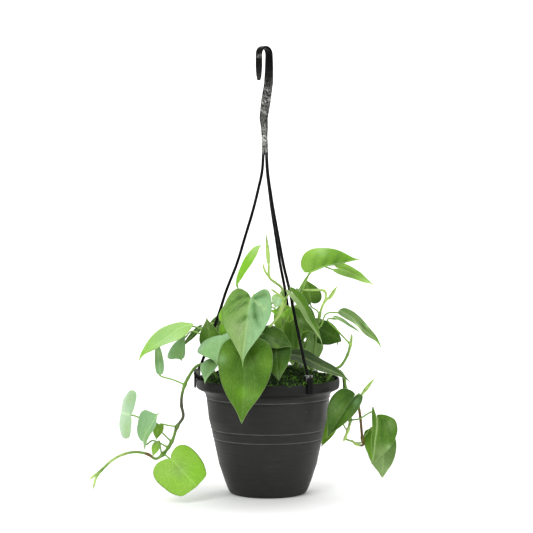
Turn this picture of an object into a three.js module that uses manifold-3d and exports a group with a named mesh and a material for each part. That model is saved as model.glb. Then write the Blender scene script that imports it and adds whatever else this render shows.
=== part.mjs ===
// Heartleaf philodendron in a hanging plastic pot: pot, clip-on hanger, soil, moss, stems and leaves.
// Millimetres, +Z up. The origin is the centre of the pot's flat base.
import * as THREE from "three";
import { mergeVertices } from "three/addons/utils/BufferGeometryUtils.js";
import Module from "manifold-3d";

const wasm = await Module();
wasm.setup();

// Driving dimensions of the pot.
const RIM_RADIUS = 82.5;
const POT_HEIGHT = 132.3;
const WALL = 1.8;
const BASE_RADIUS = 42;
const FLOOR_THICKNESS = 2.4;
const POT_SIDES = 32;
const DRAIN_RADIUS = 2.5;
const DRAIN_CIRCLE = 26;
const DRAIN_COUNT = 6;
const DRAIN_SIDES = 8;

// Driving dimensions of the hanger.
const STRAND_RADIUS = 1.75;
const STRAND_SIDES = 6;
const STRAND_STEPS = 22;
const CLIP_WIDTH = 7;
const CLIP_TOP = 143;
const CLIP_BOTTOM = 121.5;
const CLIP_LEG = 2.2;
const CLIP_INNER_LEG = 5;
const CLIP_ROUND = 1.5;
const CLIP_ANGLES = [-176.3, -56.3, 63.7];
const STRAP_THICKNESS = 2.6;
const HOOK_RADIUS = 9;
const HOOK_HEIGHT = 512;
const HOOK_BAND = 10.6;
const HOOK_TAPER = 1.4;
const HOOK_STEPS = 10;
const HOOK_TAIL = [[489, 9.2], [479, 7.6], [474.5, 5.4], [472.6, 3]];
const HOOK_TURN = new THREE.Vector3(-0.64, -0.77, 0);

// Driving dimensions of the filling.
const GAP = 0.35;
const SOIL_TOP = 112;
const SOIL_RADIUS = 68.8;
const MOSS_FOOT_RADIUS = 68.4;
const MOSS_LEDGE_RADIUS = 71;
const MOSS_LEDGE_RISE = 7.6;
const MOSS_EDGE_RADIUS = 76.6;
const MOSS_EDGE_HEIGHT = 126;
const MOSS_RISE = 18;
const MOSS_LUMP = 1.6;
const MOSS_WAVES = [
  { round: 5, outward: 9, share: 1 },
  { round: 11, outward: -6, share: 0.6 },
];
const MOSS_SECTORS = 30;
const MOSS_RINGS = 5;

// Driving dimensions of the plant.
const VINE_RADIUS = 1.6;
const VINE_SIDES = 5;
const VINE_STEPS_PER_POINT = 1.5;
const PETIOLE_RADIUS = 1.05;
const PETIOLE_SIDES = 4;
const PETIOLE_STEPS = 5;
const PETIOLE_SINK = 2.5;
const PETIOLE_BEND = 0.35;
const PETIOLE_LIFT = 0.7;
const PETIOLE_LEAD = 0.5;
const BLADE_THICKNESS = 0.8;
const HALF_WIDTH = 0.36;
const HEART_WIDEST = 0.2;
const HEART_TAPER = 1.15;
const BLADE_ARCH = 0.06;
const BLADE_FOLD = 0.2;
const BLADE_DROOP = 0.5;
const BLADE_WAVE = 0.015;
const WAVE_ALONG = 9;
const WAVE_ACROSS = 5;
const SMALL_LEAF = 42;

const v3 = (place) => new THREE.Vector3(...place);

const COLOURS = {
  pot: { color: 0x32322f, roughness: 0.55, metalness: 0 },
  hanger: { color: 0x1a1a1a, roughness: 0.3, metalness: 0 },
  soil: { color: 0x2b1f16, roughness: 0.95, metalness: 0 },
  moss: { color: 0x274d12, roughness: 0.9, metalness: 0 },
  stem: { color: 0x5b7a32, roughness: 0.6, metalness: 0 },
  dark: { color: 0x3f6f33, roughness: 0.45, metalness: 0 },
  mid: { color: 0x57913b, roughness: 0.45, metalness: 0 },
  mint: { color: 0x7fb58a, roughness: 0.5, metalness: 0 },
  bright: { color: 0x93c84a, roughness: 0.45, metalness: 0 },
};

// A closed geometry as a solid, with its shared vertices merged.
function solid(geometry) {
  const bare = geometry.index ? geometry.toNonIndexed() : geometry.clone();
  bare.deleteAttribute("normal");
  bare.deleteAttribute("uv");
  const merged = mergeVertices(bare, 1e-3);
  return new wasm.Manifold(
    new wasm.Mesh({
      numProp: 3,
      vertProperties: merged.attributes.position.array,
      triVerts: new Uint32Array(merged.index.array),
    }),
  );
}

function geometryOf(body) {
  const mesh = body.getMesh();
  const geometry = new THREE.BufferGeometry();
  geometry.setAttribute("position", new THREE.BufferAttribute(new Float32Array(mesh.vertProperties), 3));
  geometry.setIndex(new THREE.BufferAttribute(new Uint32Array(mesh.triVerts), 1));
  const flat = geometry.toNonIndexed();
  flat.computeVertexNormals();
  return flat;
}

const plant = new THREE.Group();

function place(name, body, look) {
  const mesh = new THREE.Mesh(geometryOf(body), new THREE.MeshStandardMaterial(COLOURS[look]));
  mesh.name = name;
  plant.add(mesh);
}

function joined(bodies) {
  return bodies.reduce((whole, body) => whole.add(body));
}

function roundSection(radius, sides) {
  const points = [];
  for (let k = 0; k < sides; k++) {
    const turn = (2 * Math.PI * k) / sides;
    points.push(new THREE.Vector2(radius * Math.cos(turn), radius * Math.sin(turn)));
  }
  return new THREE.Shape(points);
}

function tube(curve, radius, sides, steps) {
  return solid(new THREE.ExtrudeGeometry(roundSection(radius, sides), { extrudePath: curve, steps }));
}

// The pot: a thin wall that steps out into a wide rim band, grooved round the outside.
const POT_OUTSIDE = [
  [BASE_RADIUS, 0],
  [44.5, 1.4],
  [46.4, 4.6],
  [50.4, 15],
  [56.6, 33.6],
  [61.8, 58.4],
  [63.1, 63.9],
  [62.6, 64.5],
  [63.4, 65.1],
  [65.5, 75],
  [68.2, 85.8],
  [71, 110.3],
  [70.5, 110.9],
  [71.3, 111.5],
  [72.5, 115.5],
  [76, 118.6],
  [80.6, 120.4],
  [82.2, 122],
  [RIM_RADIUS, 123.8],
  [RIM_RADIUS, POT_HEIGHT - 0.8],
  [RIM_RADIUS - 0.7, POT_HEIGHT],
];
const POT_INSIDE = [
  [RIM_RADIUS - WALL, POT_HEIGHT],
  [RIM_RADIUS - WALL, 125],
  [79, 122.8],
  [72.5, 119.6],
  [69.2, 111],
  [66.2, 85.8],
  [60, 58.4],
  [54.6, 33.6],
  [48.3, 15],
  [44.8, FLOOR_THICKNESS + 1],
  [43, FLOOR_THICKNESS],
];

function lathe(profile, sides) {
  const points = profile.map(([r, z]) => new THREE.Vector2(r, z));
  return new THREE.LatheGeometry(points, sides).rotateX(Math.PI / 2);
}

function makePot() {
  const wall = solid(lathe([[0, 0], ...POT_OUTSIDE, ...POT_INSIDE, [0, FLOOR_THICKNESS]], POT_SIDES));
  const drains = [];
  for (let k = 0; k < DRAIN_COUNT; k++) {
    const turn = (2 * Math.PI * k) / DRAIN_COUNT;
    const depth = 4 * FLOOR_THICKNESS;
    const drain = new THREE.CylinderGeometry(DRAIN_RADIUS, DRAIN_RADIUS, depth, DRAIN_SIDES);
    drain.rotateX(Math.PI / 2).translate(DRAIN_CIRCLE * Math.cos(turn), DRAIN_CIRCLE * Math.sin(turn), 0);
    drains.push(solid(drain));
  }
  return drains.reduce((pot, drain) => pot.subtract(drain), wall);
}

// The hanger: strands fall from one joint in a curve that opens towards the rim.
const STRAND_FALL = [
  [2.2, 397],
  [4, 370],
  [8.5, 350],
  [15, 325],
  [25, 293],
  [34.2, 264],
  [46.8, 233],
  [56.5, 204],
  [78, 146],
  [81.6, 140],
];
const STRAND_SHIFT = -3;
const STRAP_STATIONS = [
  { x: -3, z: 388, width: 7 },
  { x: -4, z: 408, width: 7 },
  { x: -4, z: 419, width: 8 },
  { x: -5, z: 430, width: 10 },
  { x: -2.5, z: 449, width: 12 },
  { x: 0.6, z: 470, width: 12 },
  { x: 1.2, z: 486, width: 11.8 },
];

function strand(angle) {
  const turn = THREE.MathUtils.degToRad(angle);
  const points = STRAND_FALL.map(([r, z]) => {
    const shift = (STRAND_SHIFT * Math.max(0, z - CLIP_TOP)) / (STRAND_FALL[0][1] - CLIP_TOP);
    return new THREE.Vector3(shift + r * Math.cos(turn), r * Math.sin(turn), z);
  });
  return tube(new THREE.CatmullRomCurve3(points), STRAND_RADIUS, STRAND_SIDES, STRAND_STEPS);
}

// A clip is an inverted U over the rim, as wide as a thumbnail.
function clip(angle) {
  const outerFace = RIM_RADIUS + GAP;
  const innerFace = RIM_RADIUS - WALL - 2 * GAP;
  const roof = POT_HEIGHT + GAP;
  const legBottom = POT_HEIGHT - CLIP_INNER_LEG;
  const outline = new THREE.Shape([
    new THREE.Vector2(outerFace + CLIP_LEG, CLIP_BOTTOM),
    new THREE.Vector2(outerFace + CLIP_LEG, CLIP_TOP - CLIP_ROUND),
    new THREE.Vector2(outerFace + CLIP_LEG - CLIP_ROUND, CLIP_TOP),
    new THREE.Vector2(innerFace - CLIP_LEG + CLIP_ROUND, CLIP_TOP),
    new THREE.Vector2(innerFace - CLIP_LEG, CLIP_TOP - CLIP_ROUND),
    new THREE.Vector2(innerFace - CLIP_LEG, legBottom),
    new THREE.Vector2(innerFace, legBottom),
    new THREE.Vector2(innerFace, roof),
    new THREE.Vector2(outerFace, roof),
    new THREE.Vector2(outerFace, CLIP_BOTTOM),
  ]);
  const block = new THREE.ExtrudeGeometry(outline, { depth: CLIP_WIDTH, bevelEnabled: false, steps: 1 });
  block.translate(0, 0, -CLIP_WIDTH / 2).rotateX(Math.PI / 2);
  block.rotateZ(THREE.MathUtils.degToRad(angle));
  return solid(block);
}

// A closed skin over rings of equal length, with a fan at each end.
function loft(rings) {
  const size = rings[0].length;
  const corners = rings.flat();
  const faces = [];
  for (let i = 0; i + 1 < rings.length; i++) {
    for (let k = 0; k < size; k++) {
      const a = i * size + k;
      const b = i * size + ((k + 1) % size);
      faces.push(a, b, b + size, a, b + size, a + size);
    }
  }
  const last = (rings.length - 1) * size;
  for (let k = 1; k + 1 < size; k++) {
    faces.push(0, k + 1, k);
    faces.push(last, last + k, last + k + 1);
  }
  const geometry = new THREE.BufferGeometry().setFromPoints(corners);
  geometry.setIndex(faces);
  return solid(geometry);
}

// One run of flat band: the strap climbs, turns over in the hook and comes down to a rounded end.
function bandRing(centre, across, outward, width, thickness) {
  const side = across.clone().multiplyScalar(width / 2);
  const out = outward.clone().multiplyScalar(thickness / 2);
  return [
    centre.clone().sub(side).sub(out),
    centre.clone().add(side).sub(out),
    centre.clone().add(side).add(out),
    centre.clone().sub(side).add(out),
  ];
}

function makeStrap() {
  const hookAcross = new THREE.Vector3(-HOOK_TURN.y, HOOK_TURN.x, 0).normalize();
  const plain = new THREE.Vector3(1, 0, 0);
  const first = STRAP_STATIONS[0].z;
  const last = STRAP_STATIONS[STRAP_STATIONS.length - 1].z;
  const rings = STRAP_STATIONS.map(({ x, z, width }) => {
    const across = plain.clone().lerp(hookAcross, (z - first) / (last - first)).normalize();
    const outward = new THREE.Vector3(-across.y, across.x, 0);
    return bandRing(new THREE.Vector3(x, 0, z), across, outward, width, STRAP_THICKNESS);
  });
  const top = STRAP_STATIONS[STRAP_STATIONS.length - 1];
  const toward = HOOK_TURN.clone().normalize();
  const arcHeight = HOOK_HEIGHT - HOOK_RADIUS - STRAP_THICKNESS / 2;
  const centre = new THREE.Vector3(top.x, 0, arcHeight).addScaledVector(toward, HOOK_RADIUS);
  for (let k = 0; k <= HOOK_STEPS; k++) {
    const share = k / HOOK_STEPS;
    const turn = Math.PI * share;
    const outward = toward.clone().multiplyScalar(-Math.cos(turn));
    outward.z = Math.sin(turn);
    const spot = centre.clone().addScaledVector(outward, HOOK_RADIUS);
    rings.push(bandRing(spot, hookAcross, outward, HOOK_BAND - HOOK_TAPER * share, STRAP_THICKNESS));
  }
  for (const [z, width] of HOOK_TAIL) {
    const spot = new THREE.Vector3(top.x, 0, z).addScaledVector(toward, 2 * HOOK_RADIUS);
    rings.push(bandRing(spot, hookAcross, toward, width, STRAP_THICKNESS));
  }
  return loft(rings);
}

function makeHanger() {
  return joined([makeStrap(), ...CLIP_ANGLES.map(strand), ...CLIP_ANGLES.map(clip)]);
}

// Stems: routes of the vines, from their holes in the soil outwards.
const VINES = {
  left_trailer: [
    [
      [-46, -16, 96], [-56, -20, 130], [-68, -22, 149], [-80, -25, 149], [-91, -31, 135], [-97, -35, 119],
      [-98, -36, 105], [-96, -36, 92], [-103, -38, 81], [-108, -40, 66], [-118, -42, 51], [-127, -42, 45],
      [-135, -43, 50], [-148, -44, 53], [-162, -45, 51], [-176, -47, 44], [-188, -48, 33], [-201, -50, 23],
    ],
    [[-187, -48, 34], [-194, -49, 24], [-197, -50, 12]],
  ],
  right_trailer: [
    [
      [60, 4, 96], [66, 2, 128], [76, 0, 141], [85, -3, 138], [88, -5, 121], [92, -6, 102],
      [94.5, -6, 84], [91.5, -6, 71], [87, -6, 59],
    ],
  ],
  brown_trailer: [
    [
      [58, -24, 96], [66, -21, 128], [76, -18, 141], [86, -16, 137], [89, -14, 122], [95, -13, 112],
      [102, -13, 106], [105, -12, 94], [108, -12, 65], [109, -12, 56], [101, -12, 57], [96, -12, 62],
    ],
    [
      [102, -13, 106], [104, -18, 111], [108, -22, 117], [114, -24, 125],
    ],
  ],
  crown_left: [[[-34, -6, 96], [-42, -10, 140], [-52, -16, 168], [-62, -20, 186], [-70, -22, 192]]],
  crown_front: [
    [
      [-6, -22, 96], [-8, -32, 140], [-7, -40, 176], [-6, -42, 204], [-8, -38, 222],
    ],
    [
      [-7, -41, 184], [3, -43, 196], [14, -41, 210], [19, -40, 224], [12, -43, 231], [3, -45, 238],
    ],
  ],
  crown_top: [
    [[12, 8, 96], [14, 14, 160], [18, 18, 210], [16, 21, 234], [8, 22, 241], [2, 23, 246], [1, 24, 264]],
    [[3, 23, 245], [-3, 23, 253], [-6, 23, 263]],
  ],
  crown_right: [[[28, 6, 96], [34, 4, 150], [38, 3, 200], [36, 1, 224], [33, 0, 236]]],
  right_shoot: [
    [
      [44, 12, 96], [52, 10, 150], [58, 8, 196], [64, 7, 217], [73, 6, 227],
    ],
    [
      [64, 7, 217], [67, 6, 226], [65, 5, 232], [50, 4, 233], [36, 3, 233],
    ],
  ],
  right_riser: [
    [
      [62, -12, 96], [66, -12, 134], [75, -12, 143], [83, -12, 147], [91, -12, 160], [95, -11, 175],
      [96, -10, 184],
    ],
  ],
  back_left: [[[-22, 30, 96], [-30, 40, 140], [-38, 48, 178], [-44, 52, 206]]],
  back_right: [
    [
      [24, 36, 96], [34, 48, 138], [46, 58, 168], [52, 63, 189],
    ],
  ],
};

// Buds: young leaves still rolled up, each from a stem's end to its point.
const BUDS = {
  crown_top: { from: [1, 24, 260], to: [-2, 25, 297], radius: 2.6 },
  crown_front: { from: [11, -42, 205], to: [21, -40, 230], radius: 2.3 },
  right_shoot: { from: [70, 6, 222], to: [80, 6, 238], radius: 2.3 },
  brown_trailer: { from: [107, -22, 116], to: [121.5, -25, 135], radius: 2.2 },
};
const BUD_PROFILE = [[0, 0], [0.7, 0.08], [1, 0.35], [0.75, 0.7], [0, 1]];

function bud({ from, to, radius }, extra) {
  const along = v3(to).sub(v3(from));
  const points = BUD_PROFILE.map(([r, h]) => new THREE.Vector2(r * (radius + extra), h * along.length()));
  const spindle = new THREE.LatheGeometry(points, VINE_SIDES);
  const turn = new THREE.Quaternion().setFromUnitVectors(new THREE.Vector3(0, 1, 0), along.normalize());
  return solid(spindle.applyQuaternion(turn).translate(...from));
}

function vineTubes(name, extra) {
  const tubes = VINES[name].map((route) => {
    const curve = new THREE.CatmullRomCurve3(route.map(v3));
    return tube(curve, VINE_RADIUS + extra, VINE_SIDES, Math.ceil(VINE_STEPS_PER_POINT * route.length));
  });
  return BUDS[name] ? [...tubes, bud(BUDS[name], extra)] : tubes;
}

const fatVines = {};
for (const name of Object.keys(VINES)) fatVines[name] = joined(vineTubes(name, GAP));

// Half of a heart-shaped blade, as shares of its length and half width, with the rib point of each ray.
const HEART = [
  { rib: 0, along: -0.085, out: 0.15 },
  { rib: 0, along: -0.115, out: 0.38 },
  { rib: 0, along: -0.085, out: 0.68 },
  { rib: 0, along: 0.02, out: 0.91 },
  { rib: 0.1, along: 0.2, out: 1 },
  { rib: 0.3, along: 0.42, out: 0.87 },
  { rib: 0.54, along: 0.64, out: 0.55 },
  { rib: 0.8, along: 0.85, out: 0.14 },
  { rib: 1, along: 1, out: 0 },
];

// The heart as one side of one blade has it, with its own taper, lobe and sweep.
function heartOf({ taper = HEART_TAPER, lobe = 1, lean = 0, sweep = 0 }, side) {
  const size = lobe * (1 + side * lean);
  return HEART.map(({ rib, along, out }) => {
    const share = out ** (along > HEART_WIDEST ? taper : 1 / size);
    const place = along < 0 ? along * size : along;
    return { rib, along: place + sweep * share, out: share };
  });
}

// The points of one half, ray by ray from the rib to the margin.
function halfRays(leaf, side, divisions) {
  const { width = HALF_WIDTH, skew = 0 } = leaf;
  const reach = side * width * (1 + side * skew);
  return heartOf(leaf, side).map(({ rib, along, out }) => {
    const ray = [];
    for (let d = 0; d <= divisions; d++) {
      const share = d / divisions;
      ray.push([rib + (along - rib) * share, reach * out * share]);
    }
    return ray;
  });
}

// The triangles of one half and its margin, both running the way that faces up.
function halfBlade(leaf, side, divisions) {
  const rays = halfRays(leaf, side, divisions);
  const triangles = [];
  const margin = [];
  for (let d = 0; d < divisions; d++) margin.push([rays[0][d], rays[0][d + 1]]);
  for (let k = 0; k + 1 < rays.length; k++) {
    for (let d = 0; d < divisions; d++) {
      const [a, b, c, e] = [rays[k][d], rays[k][d + 1], rays[k + 1][d + 1], rays[k + 1][d]];
      triangles.push([a, b, c], [a, c, e]);
    }
    margin.push([rays[k][divisions], rays[k + 1][divisions]]);
  }
  const real = triangles.filter((corners) => !hasTwins(corners));
  if (side < 0) return { triangles: real, margin };
  const turned = (list) => list.map((corners) => [...corners].reverse());
  return { triangles: turned(real), margin: turned(margin) };
}

function hasTwins(corners) {
  const same = (a, b) => a[0] === b[0] && a[1] === b[1];
  return same(corners[0], corners[1]) || same(corners[1], corners[2]) || same(corners[2], corners[0]);
}

// A blade is two skins over the same points, so both faces have the same triangles.
function blade(leaf) {
  const base = v3(leaf.at);
  const e1 = v3(leaf.tip).sub(base);
  const length = e1.length();
  e1.normalize();
  const e3 = v3(leaf.face);
  e3.addScaledVector(e1, -e3.dot(e1)).normalize();
  const e2 = new THREE.Vector3().crossVectors(e3, e1);
  const { arch = BLADE_ARCH, fold = BLADE_FOLD, wave = BLADE_WAVE } = leaf;
  const spot = ([u, v], lift) => {
    const ribRise = 4 * arch * u * (1 - u);
    const sideRise = fold * Math.abs(v) - BLADE_DROOP * v * v;
    const rise = ribRise + sideRise + wave * Math.sin(WAVE_ALONG * u + WAVE_ACROSS * v);
    const place = base.clone().addScaledVector(e1, u * length).addScaledVector(e2, v * length);
    return place.addScaledVector(e3, rise * length + lift);
  };
  const half = BLADE_THICKNESS / 2;
  const points = [];
  for (const side of [1, -1]) {
    const { triangles, margin } = halfBlade(leaf, side, length > SMALL_LEAF ? 2 : 1);
    for (const [a, b, c] of triangles) {
      points.push(spot(a, half), spot(b, half), spot(c, half));
      points.push(spot(a, -half), spot(c, -half), spot(b, -half));
    }
    for (const [a, b] of margin) {
      points.push(spot(a, half), spot(b, -half), spot(b, half));
      points.push(spot(a, half), spot(a, -half), spot(b, -half));
    }
  }
  const skin = solid(new THREE.BufferGeometry().setFromPoints(points));
  return { body: skin, e1, e3, base };
}

// A leaf: its petiole leaves the stem, bends up and sinks into the blade from below.
function makeLeaf(leaf) {
  const { body, e1, e3, base } = blade(leaf);
  const from = v3(leaf.from);
  const reach = base.distanceTo(from);
  const arrive = e3.clone().multiplyScalar(PETIOLE_LIFT).addScaledVector(e1, PETIOLE_LEAD).normalize();
  const end = base.clone().addScaledVector(e1, PETIOLE_SINK);
  const bend = base.clone().addScaledVector(arrive, -(leaf.bend ?? PETIOLE_BEND) * reach);
  const middle = leaf.via ? v3(leaf.via) : from.clone().lerp(bend, 0.5);
  const curve = new THREE.CatmullRomCurve3([from, middle, bend, end]);
  const petiole = tube(curve, PETIOLE_RADIUS, PETIOLE_SIDES, PETIOLE_STEPS);
  return body.add(petiole).subtract(fatVines[leaf.vine]);
}

// Leaves: stem, place where the petiole leaves it, attachment, tip and facing of the blade, and its colour.
// via and bend steer the petiole. width, fold, taper and lobe give the blade's half width, its fold along the
// rib, how fast it narrows and the size of its lobes. skew widens one side and narrows the other, lean does
// so with the lobes, and sweep moves the widest place towards the tip.
const LEAVES = {
  front_upper: { vine: "crown_front", from: [-7, -41, 196], at: [-19, -66, 228], tip: [-28, -92, 151],
    face: [-0.3, -0.94, 0.36], width: 0.352, taper: 1.45, lobe: 1.35, skew: -0.075, look: "mid" },
  front_lower: { vine: "crown_front", from: [-8, -36, 158], at: [-24, -72, 176], tip: [-29, -104, 94],
    face: [0, -1, 0.4], width: 0.345, taper: 0.75, look: "mid" },
  front_dark: { vine: "crown_front", from: [-8, -33, 146], at: [9, -48, 176], tip: [12, -66, 136],
    face: [-0.1, -0.9, 0.4], width: 0.38, taper: 0.7, look: "dark" },
  front_tucked: { vine: "crown_front", from: [-7, -39, 172], at: [-5, -47, 187], tip: [26, -57, 174],
    face: [0, -0.85, 0.5], width: 0.4, taper: 0.6, look: "dark" },
  upright_bright: { vine: "crown_front", from: [-7, -40, 213], at: [-36, -18, 239], tip: [-9, -14, 286],
    face: [-0.6, -0.7, 0.35], width: 0.13, taper: 0.5, lobe: 0.25, sweep: 0.3, look: "bright" },
  strand_narrow: { vine: "crown_front", from: [18, -41, 222], via: [24, -45, 235], at: [28, -54, 233],
    tip: [62, -56, 172], face: [0.6, -0.6, 0.4], width: 0.13, look: "mid" },
  left_broad: { vine: "crown_left", from: [-60, -19, 183], at: [-88, -22, 196], tip: [-146, -55, 158],
    face: [-0.35, -0.4, 0.85], width: 0.28, taper: 0.8, lobe: 0.4, sweep: 0.12, look: "bright" },
  left_mint: { vine: "crown_left", from: [-46, -13, 153], at: [-52, -38, 184], tip: [-57, -66, 154],
    face: [-0.45, -0.65, 0.6], width: 0.58, taper: 1.0, lobe: 0.4, skew: -0.42, sweep: -0.05,
    look: "mint" },
  left_rim: { vine: "crown_left", from: [-44, -11, 147], at: [-60, -48, 156], tip: [-71, -62, 132],
    face: [-0.6, -0.7, 0.4], width: 0.42, fold: 0.4, skew: -0.15, look: "mint" },
  left_dark: { vine: "crown_left", from: [-51, -15, 166], at: [-65, -20, 172], tip: [-70, -21, 206],
    face: [-0.1, -1, 0.1], width: 0.36, look: "dark" },
  left_hanging: { vine: "crown_left", from: [-57, -18, 177], at: [-95, -4, 181], tip: [-98, -15, 148],
    face: [-0.5, -0.8, 0.2], width: 0.39, fold: 0.2, taper: 2.0, lobe: 0.3, skew: -0.7, sweep: 0.47,
    look: "mint" },
  left_young_upper: { vine: "crown_left", from: [-45, -12, 151], via: [-41, -13, 182], at: [-49, -26, 201],
    tip: [-51, -25, 218], face: [-0.2, -1, 0.1], width: 0.4, look: "bright" },
  left_young_lower: { vine: "crown_left", from: [-50, -15, 162], via: [-46, -10, 174], at: [-50, -12, 184],
    tip: [-54, -13, 199], face: [0, -1, 0.2], width: 0.34, look: "bright" },
  left_behind: { vine: "back_left", from: [-35, 45, 164], via: [-60, 26, 184], at: [-78, 12, 189],
    tip: [-100, 14, 165], face: [-0.2, -0.8, 0.5], width: 0.12, taper: 0.6, look: "dark" },
  trail_narrow: { vine: "left_trailer", from: [-94, -33, 128], via: [-107, -36, 134], bend: 0.1,
    at: [-122, -40, 142], tip: [-126, -30, 179], face: [0.2, -1, 0], width: 0.137, taper: 0.5, lobe: 0.4,
    look: "mint" },
  trail_edgewise: { vine: "left_trailer", from: [-109, -40, 64], via: [-130, -23, 80], bend: 0.1,
    at: [-156, -36, 94], tip: [-171, 27, 89], face: [-0.95, -0.2, 0.18], width: 0.43, fold: 0.08, wave: 0.0,
    taper: 0.3, look: "mint" },
  trail_mint: { vine: "left_trailer", from: [-113, -41, 58], via: [-130, -44, 66], at: [-141, -44, 65],
    tip: [-120, -64, 102], face: [-0.55, -0.8, 0.25], width: 0.31, lobe: 2.3, lean: -0.5, skew: 0.5,
    sweep: 0.3, look: "mint" },
  trail_oval: { vine: "left_trailer", from: [-103, -38, 81], bend: 0.15, at: [-123, -42, 83],
    tip: [-126, -46, 67], face: [-0.2, -1, 0.1], width: 0.37, taper: 0.7, lobe: 1.4, look: "mid" },
  trail_small: { vine: "left_trailer", from: [-120, -42, 49], at: [-125, -52, 63], tip: [-130, -52, 48],
    face: [-0.2, -1, 0.1], width: 0.3, lobe: 1.2, look: "mid" },
  trail_heart: { vine: "left_trailer", from: [-118, -42, 51], at: [-109, -60, 48], tip: [-80, -70, 18],
    face: [0.03, -0.88, 0.43], width: 0.64, taper: 0.13, lobe: 1.3, skew: -0.04, look: "bright" },
  right_fresh: { vine: "crown_right", from: [34, 1, 231], at: [47, -2, 254], tip: [111, -2, 268],
    face: [0, -0.45, 0.9], width: 0.38, fold: 0.75, taper: 1.3, look: "bright" },
  right_behind: { vine: "crown_right", from: [36, 2, 225], via: [56, 25, 260], bend: 0.1, at: [82, 20, 257],
    tip: [127, 20, 234], face: [0, -0.6, 0.8], width: 0.21, taper: 1.3, look: "bright" },
  right_outer: { vine: "crown_right", from: [38, 3, 184], via: [60, -6, 192], at: [84, -12, 210],
    tip: [131, -22, 166], face: [0.5, -0.35, 0.8], width: 0.24, taper: 0.9, lobe: 0.4, look: "mid" },
  right_tucked: { vine: "crown_right", from: [37, 3, 190], at: [36, -9, 212], tip: [58, -14, 179],
    face: [0.1, -0.9, 0.4], width: 0.3, look: "dark" },
  right_narrow: { vine: "right_riser", from: [94, -11, 172], at: [78, -6, 202], tip: [111, -7, 180],
    face: [0.4, -0.6, 0.6], width: 0.08, look: "mid" },
  right_dark: { vine: "right_shoot", from: [60, 8, 203], via: [57, 18, 208], at: [50, 22, 218],
    tip: [43, 24, 246], face: [0.1, -0.95, 0.3], width: 0.5, taper: 1.0, look: "dark" },
  right_low_dark: { vine: "right_shoot", from: [57, 9, 186], at: [60, 20, 187], tip: [86, 22, 172],
    face: [0.1, -0.9, 0.4], width: 0.5, taper: 0.65, skew: -0.1, look: "dark" },
  right_long: { vine: "crown_right", from: [34, 4, 150], at: [24, -24, 162], tip: [95, -54, 132],
    face: [0.2, -0.6, 0.75], width: 0.15, taper: 0.85, lobe: 0.3, look: "dark" },
  young_pale: { vine: "crown_top", from: [16, 16, 185], at: [13, -20, 227], tip: [7, -25, 213],
    face: [0, -1, 0.1], width: 0.5, look: "bright" },
  young_bright: { vine: "crown_top", from: [15, 15, 172], at: [21, -14, 201], tip: [29, -17, 217],
    face: [0, -1, 0.1], width: 0.4, look: "bright" },
  crown_band: { vine: "crown_right", from: [37, 2, 220], via: [30, -18, 223], at: [17, -29, 207],
    tip: [-1, -33, 213], face: [0, -0.8, 0.6], width: 0.25, look: "bright" },
  crown_centre: { vine: "crown_right", from: [35, 4, 162], via: [35, 20, 190], at: [28, 33, 208],
    tip: [31, 27, 150], face: [0, -0.95, 0.2], width: 0.38, look: "bright" },
  low_right: { vine: "brown_trailer", from: [100, -14, 108], at: [97, -45, 116], tip: [66, -52, 69],
    face: [-0.3, -0.9, 0.3], width: 0.3, fold: 0.35, taper: 0.9, lobe: 0.85, lean: 0.2, skew: -0.2,
    look: "dark" },
  low_behind: { vine: "right_trailer", from: [93, -6, 72], via: [90, 8, 72], at: [77, 22, 75],
    tip: [62, 27, 46], face: [-0.2, -0.9, 0.3], width: 0.3, skew: -0.35, look: "bright" },
  low_folded: { vine: "right_trailer", from: [95, -6, 84], via: [104, -18, 87], at: [124, -18, 89],
    tip: [118, -28, 36], face: [0.4, -0.9, 0.1], width: 0.31, fold: 0.35, taper: 0.8, lobe: 1.3, lean: -0.5,
    skew: 0.58, look: "mid" },
  low_inner: { vine: "brown_trailer", from: [108, -12, 62], at: [119, -1, 71], tip: [120, -4, 35],
    face: [-0.2, -0.9, 0.2], width: 0.25, taper: 0.7, lobe: 0.5, look: "mid" },
  low_tip: { vine: "right_trailer", from: [89, -6, 62], via: [107, 4, 56], at: [134, 6, 62],
    tip: [132, -2, 16], face: [0.1, -0.9, 0.2], width: 0.38, taper: 0.65, skew: -0.15, look: "mid" },
  back_left_high: { vine: "back_left", from: [-41, 50, 190], at: [-42, 62, 198], tip: [-76, 98, 154],
    face: [-0.5, 0.75, 0.4], width: 0.31, look: "mid" },
  back_left_low: { vine: "back_left", from: [-33, 43, 154], at: [-40, 68, 182], tip: [-52, 108, 118],
    face: [-0.2, 0.9, 0.4], look: "dark" },
  back_left_side: { vine: "back_left", from: [-37, 47, 174], at: [-60, 46, 178], tip: [-74, 62, 152],
    face: [-0.6, 0.2, 0.8], look: "mid" },
  back_left_small: { vine: "back_left", from: [-43, 52, 204], at: [-32, 62, 222], tip: [-22, 88, 206],
    face: [0.2, 0.6, 0.7], look: "bright" },
  back_right_high: { vine: "back_right", from: [50, 61, 181], at: [52, 70, 192], tip: [60, 110, 146],
    face: [0.2, 0.9, 0.4], width: 0.31, look: "mid" },
  back_right_low: { vine: "back_right", from: [38, 51, 148], at: [44, 76, 166], tip: [42, 113, 112],
    face: [-0.1, 0.9, 0.4], look: "dark" },
  back_right_side: { vine: "back_right", from: [44, 56, 166], at: [68, 48, 186], tip: [84, 76, 160],
    face: [0.7, 0.5, 0.6], look: "mid" },
  top_back: { vine: "crown_top", from: [18, 18, 205], at: [2, 36, 216], tip: [-12, 72, 200],
    face: [-0.2, 0.3, 0.9], look: "bright" },
};

for (const name of Object.keys(VINES)) place("stem_" + name, joined(vineTubes(name, 0)), "stem");
for (const [name, leaf] of Object.entries(LEAVES)) place("leaf_" + name, makeLeaf(leaf), leaf.look);
place("pot", makePot(), "pot");
place("hanger", makeHanger(), "hanger");

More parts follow.
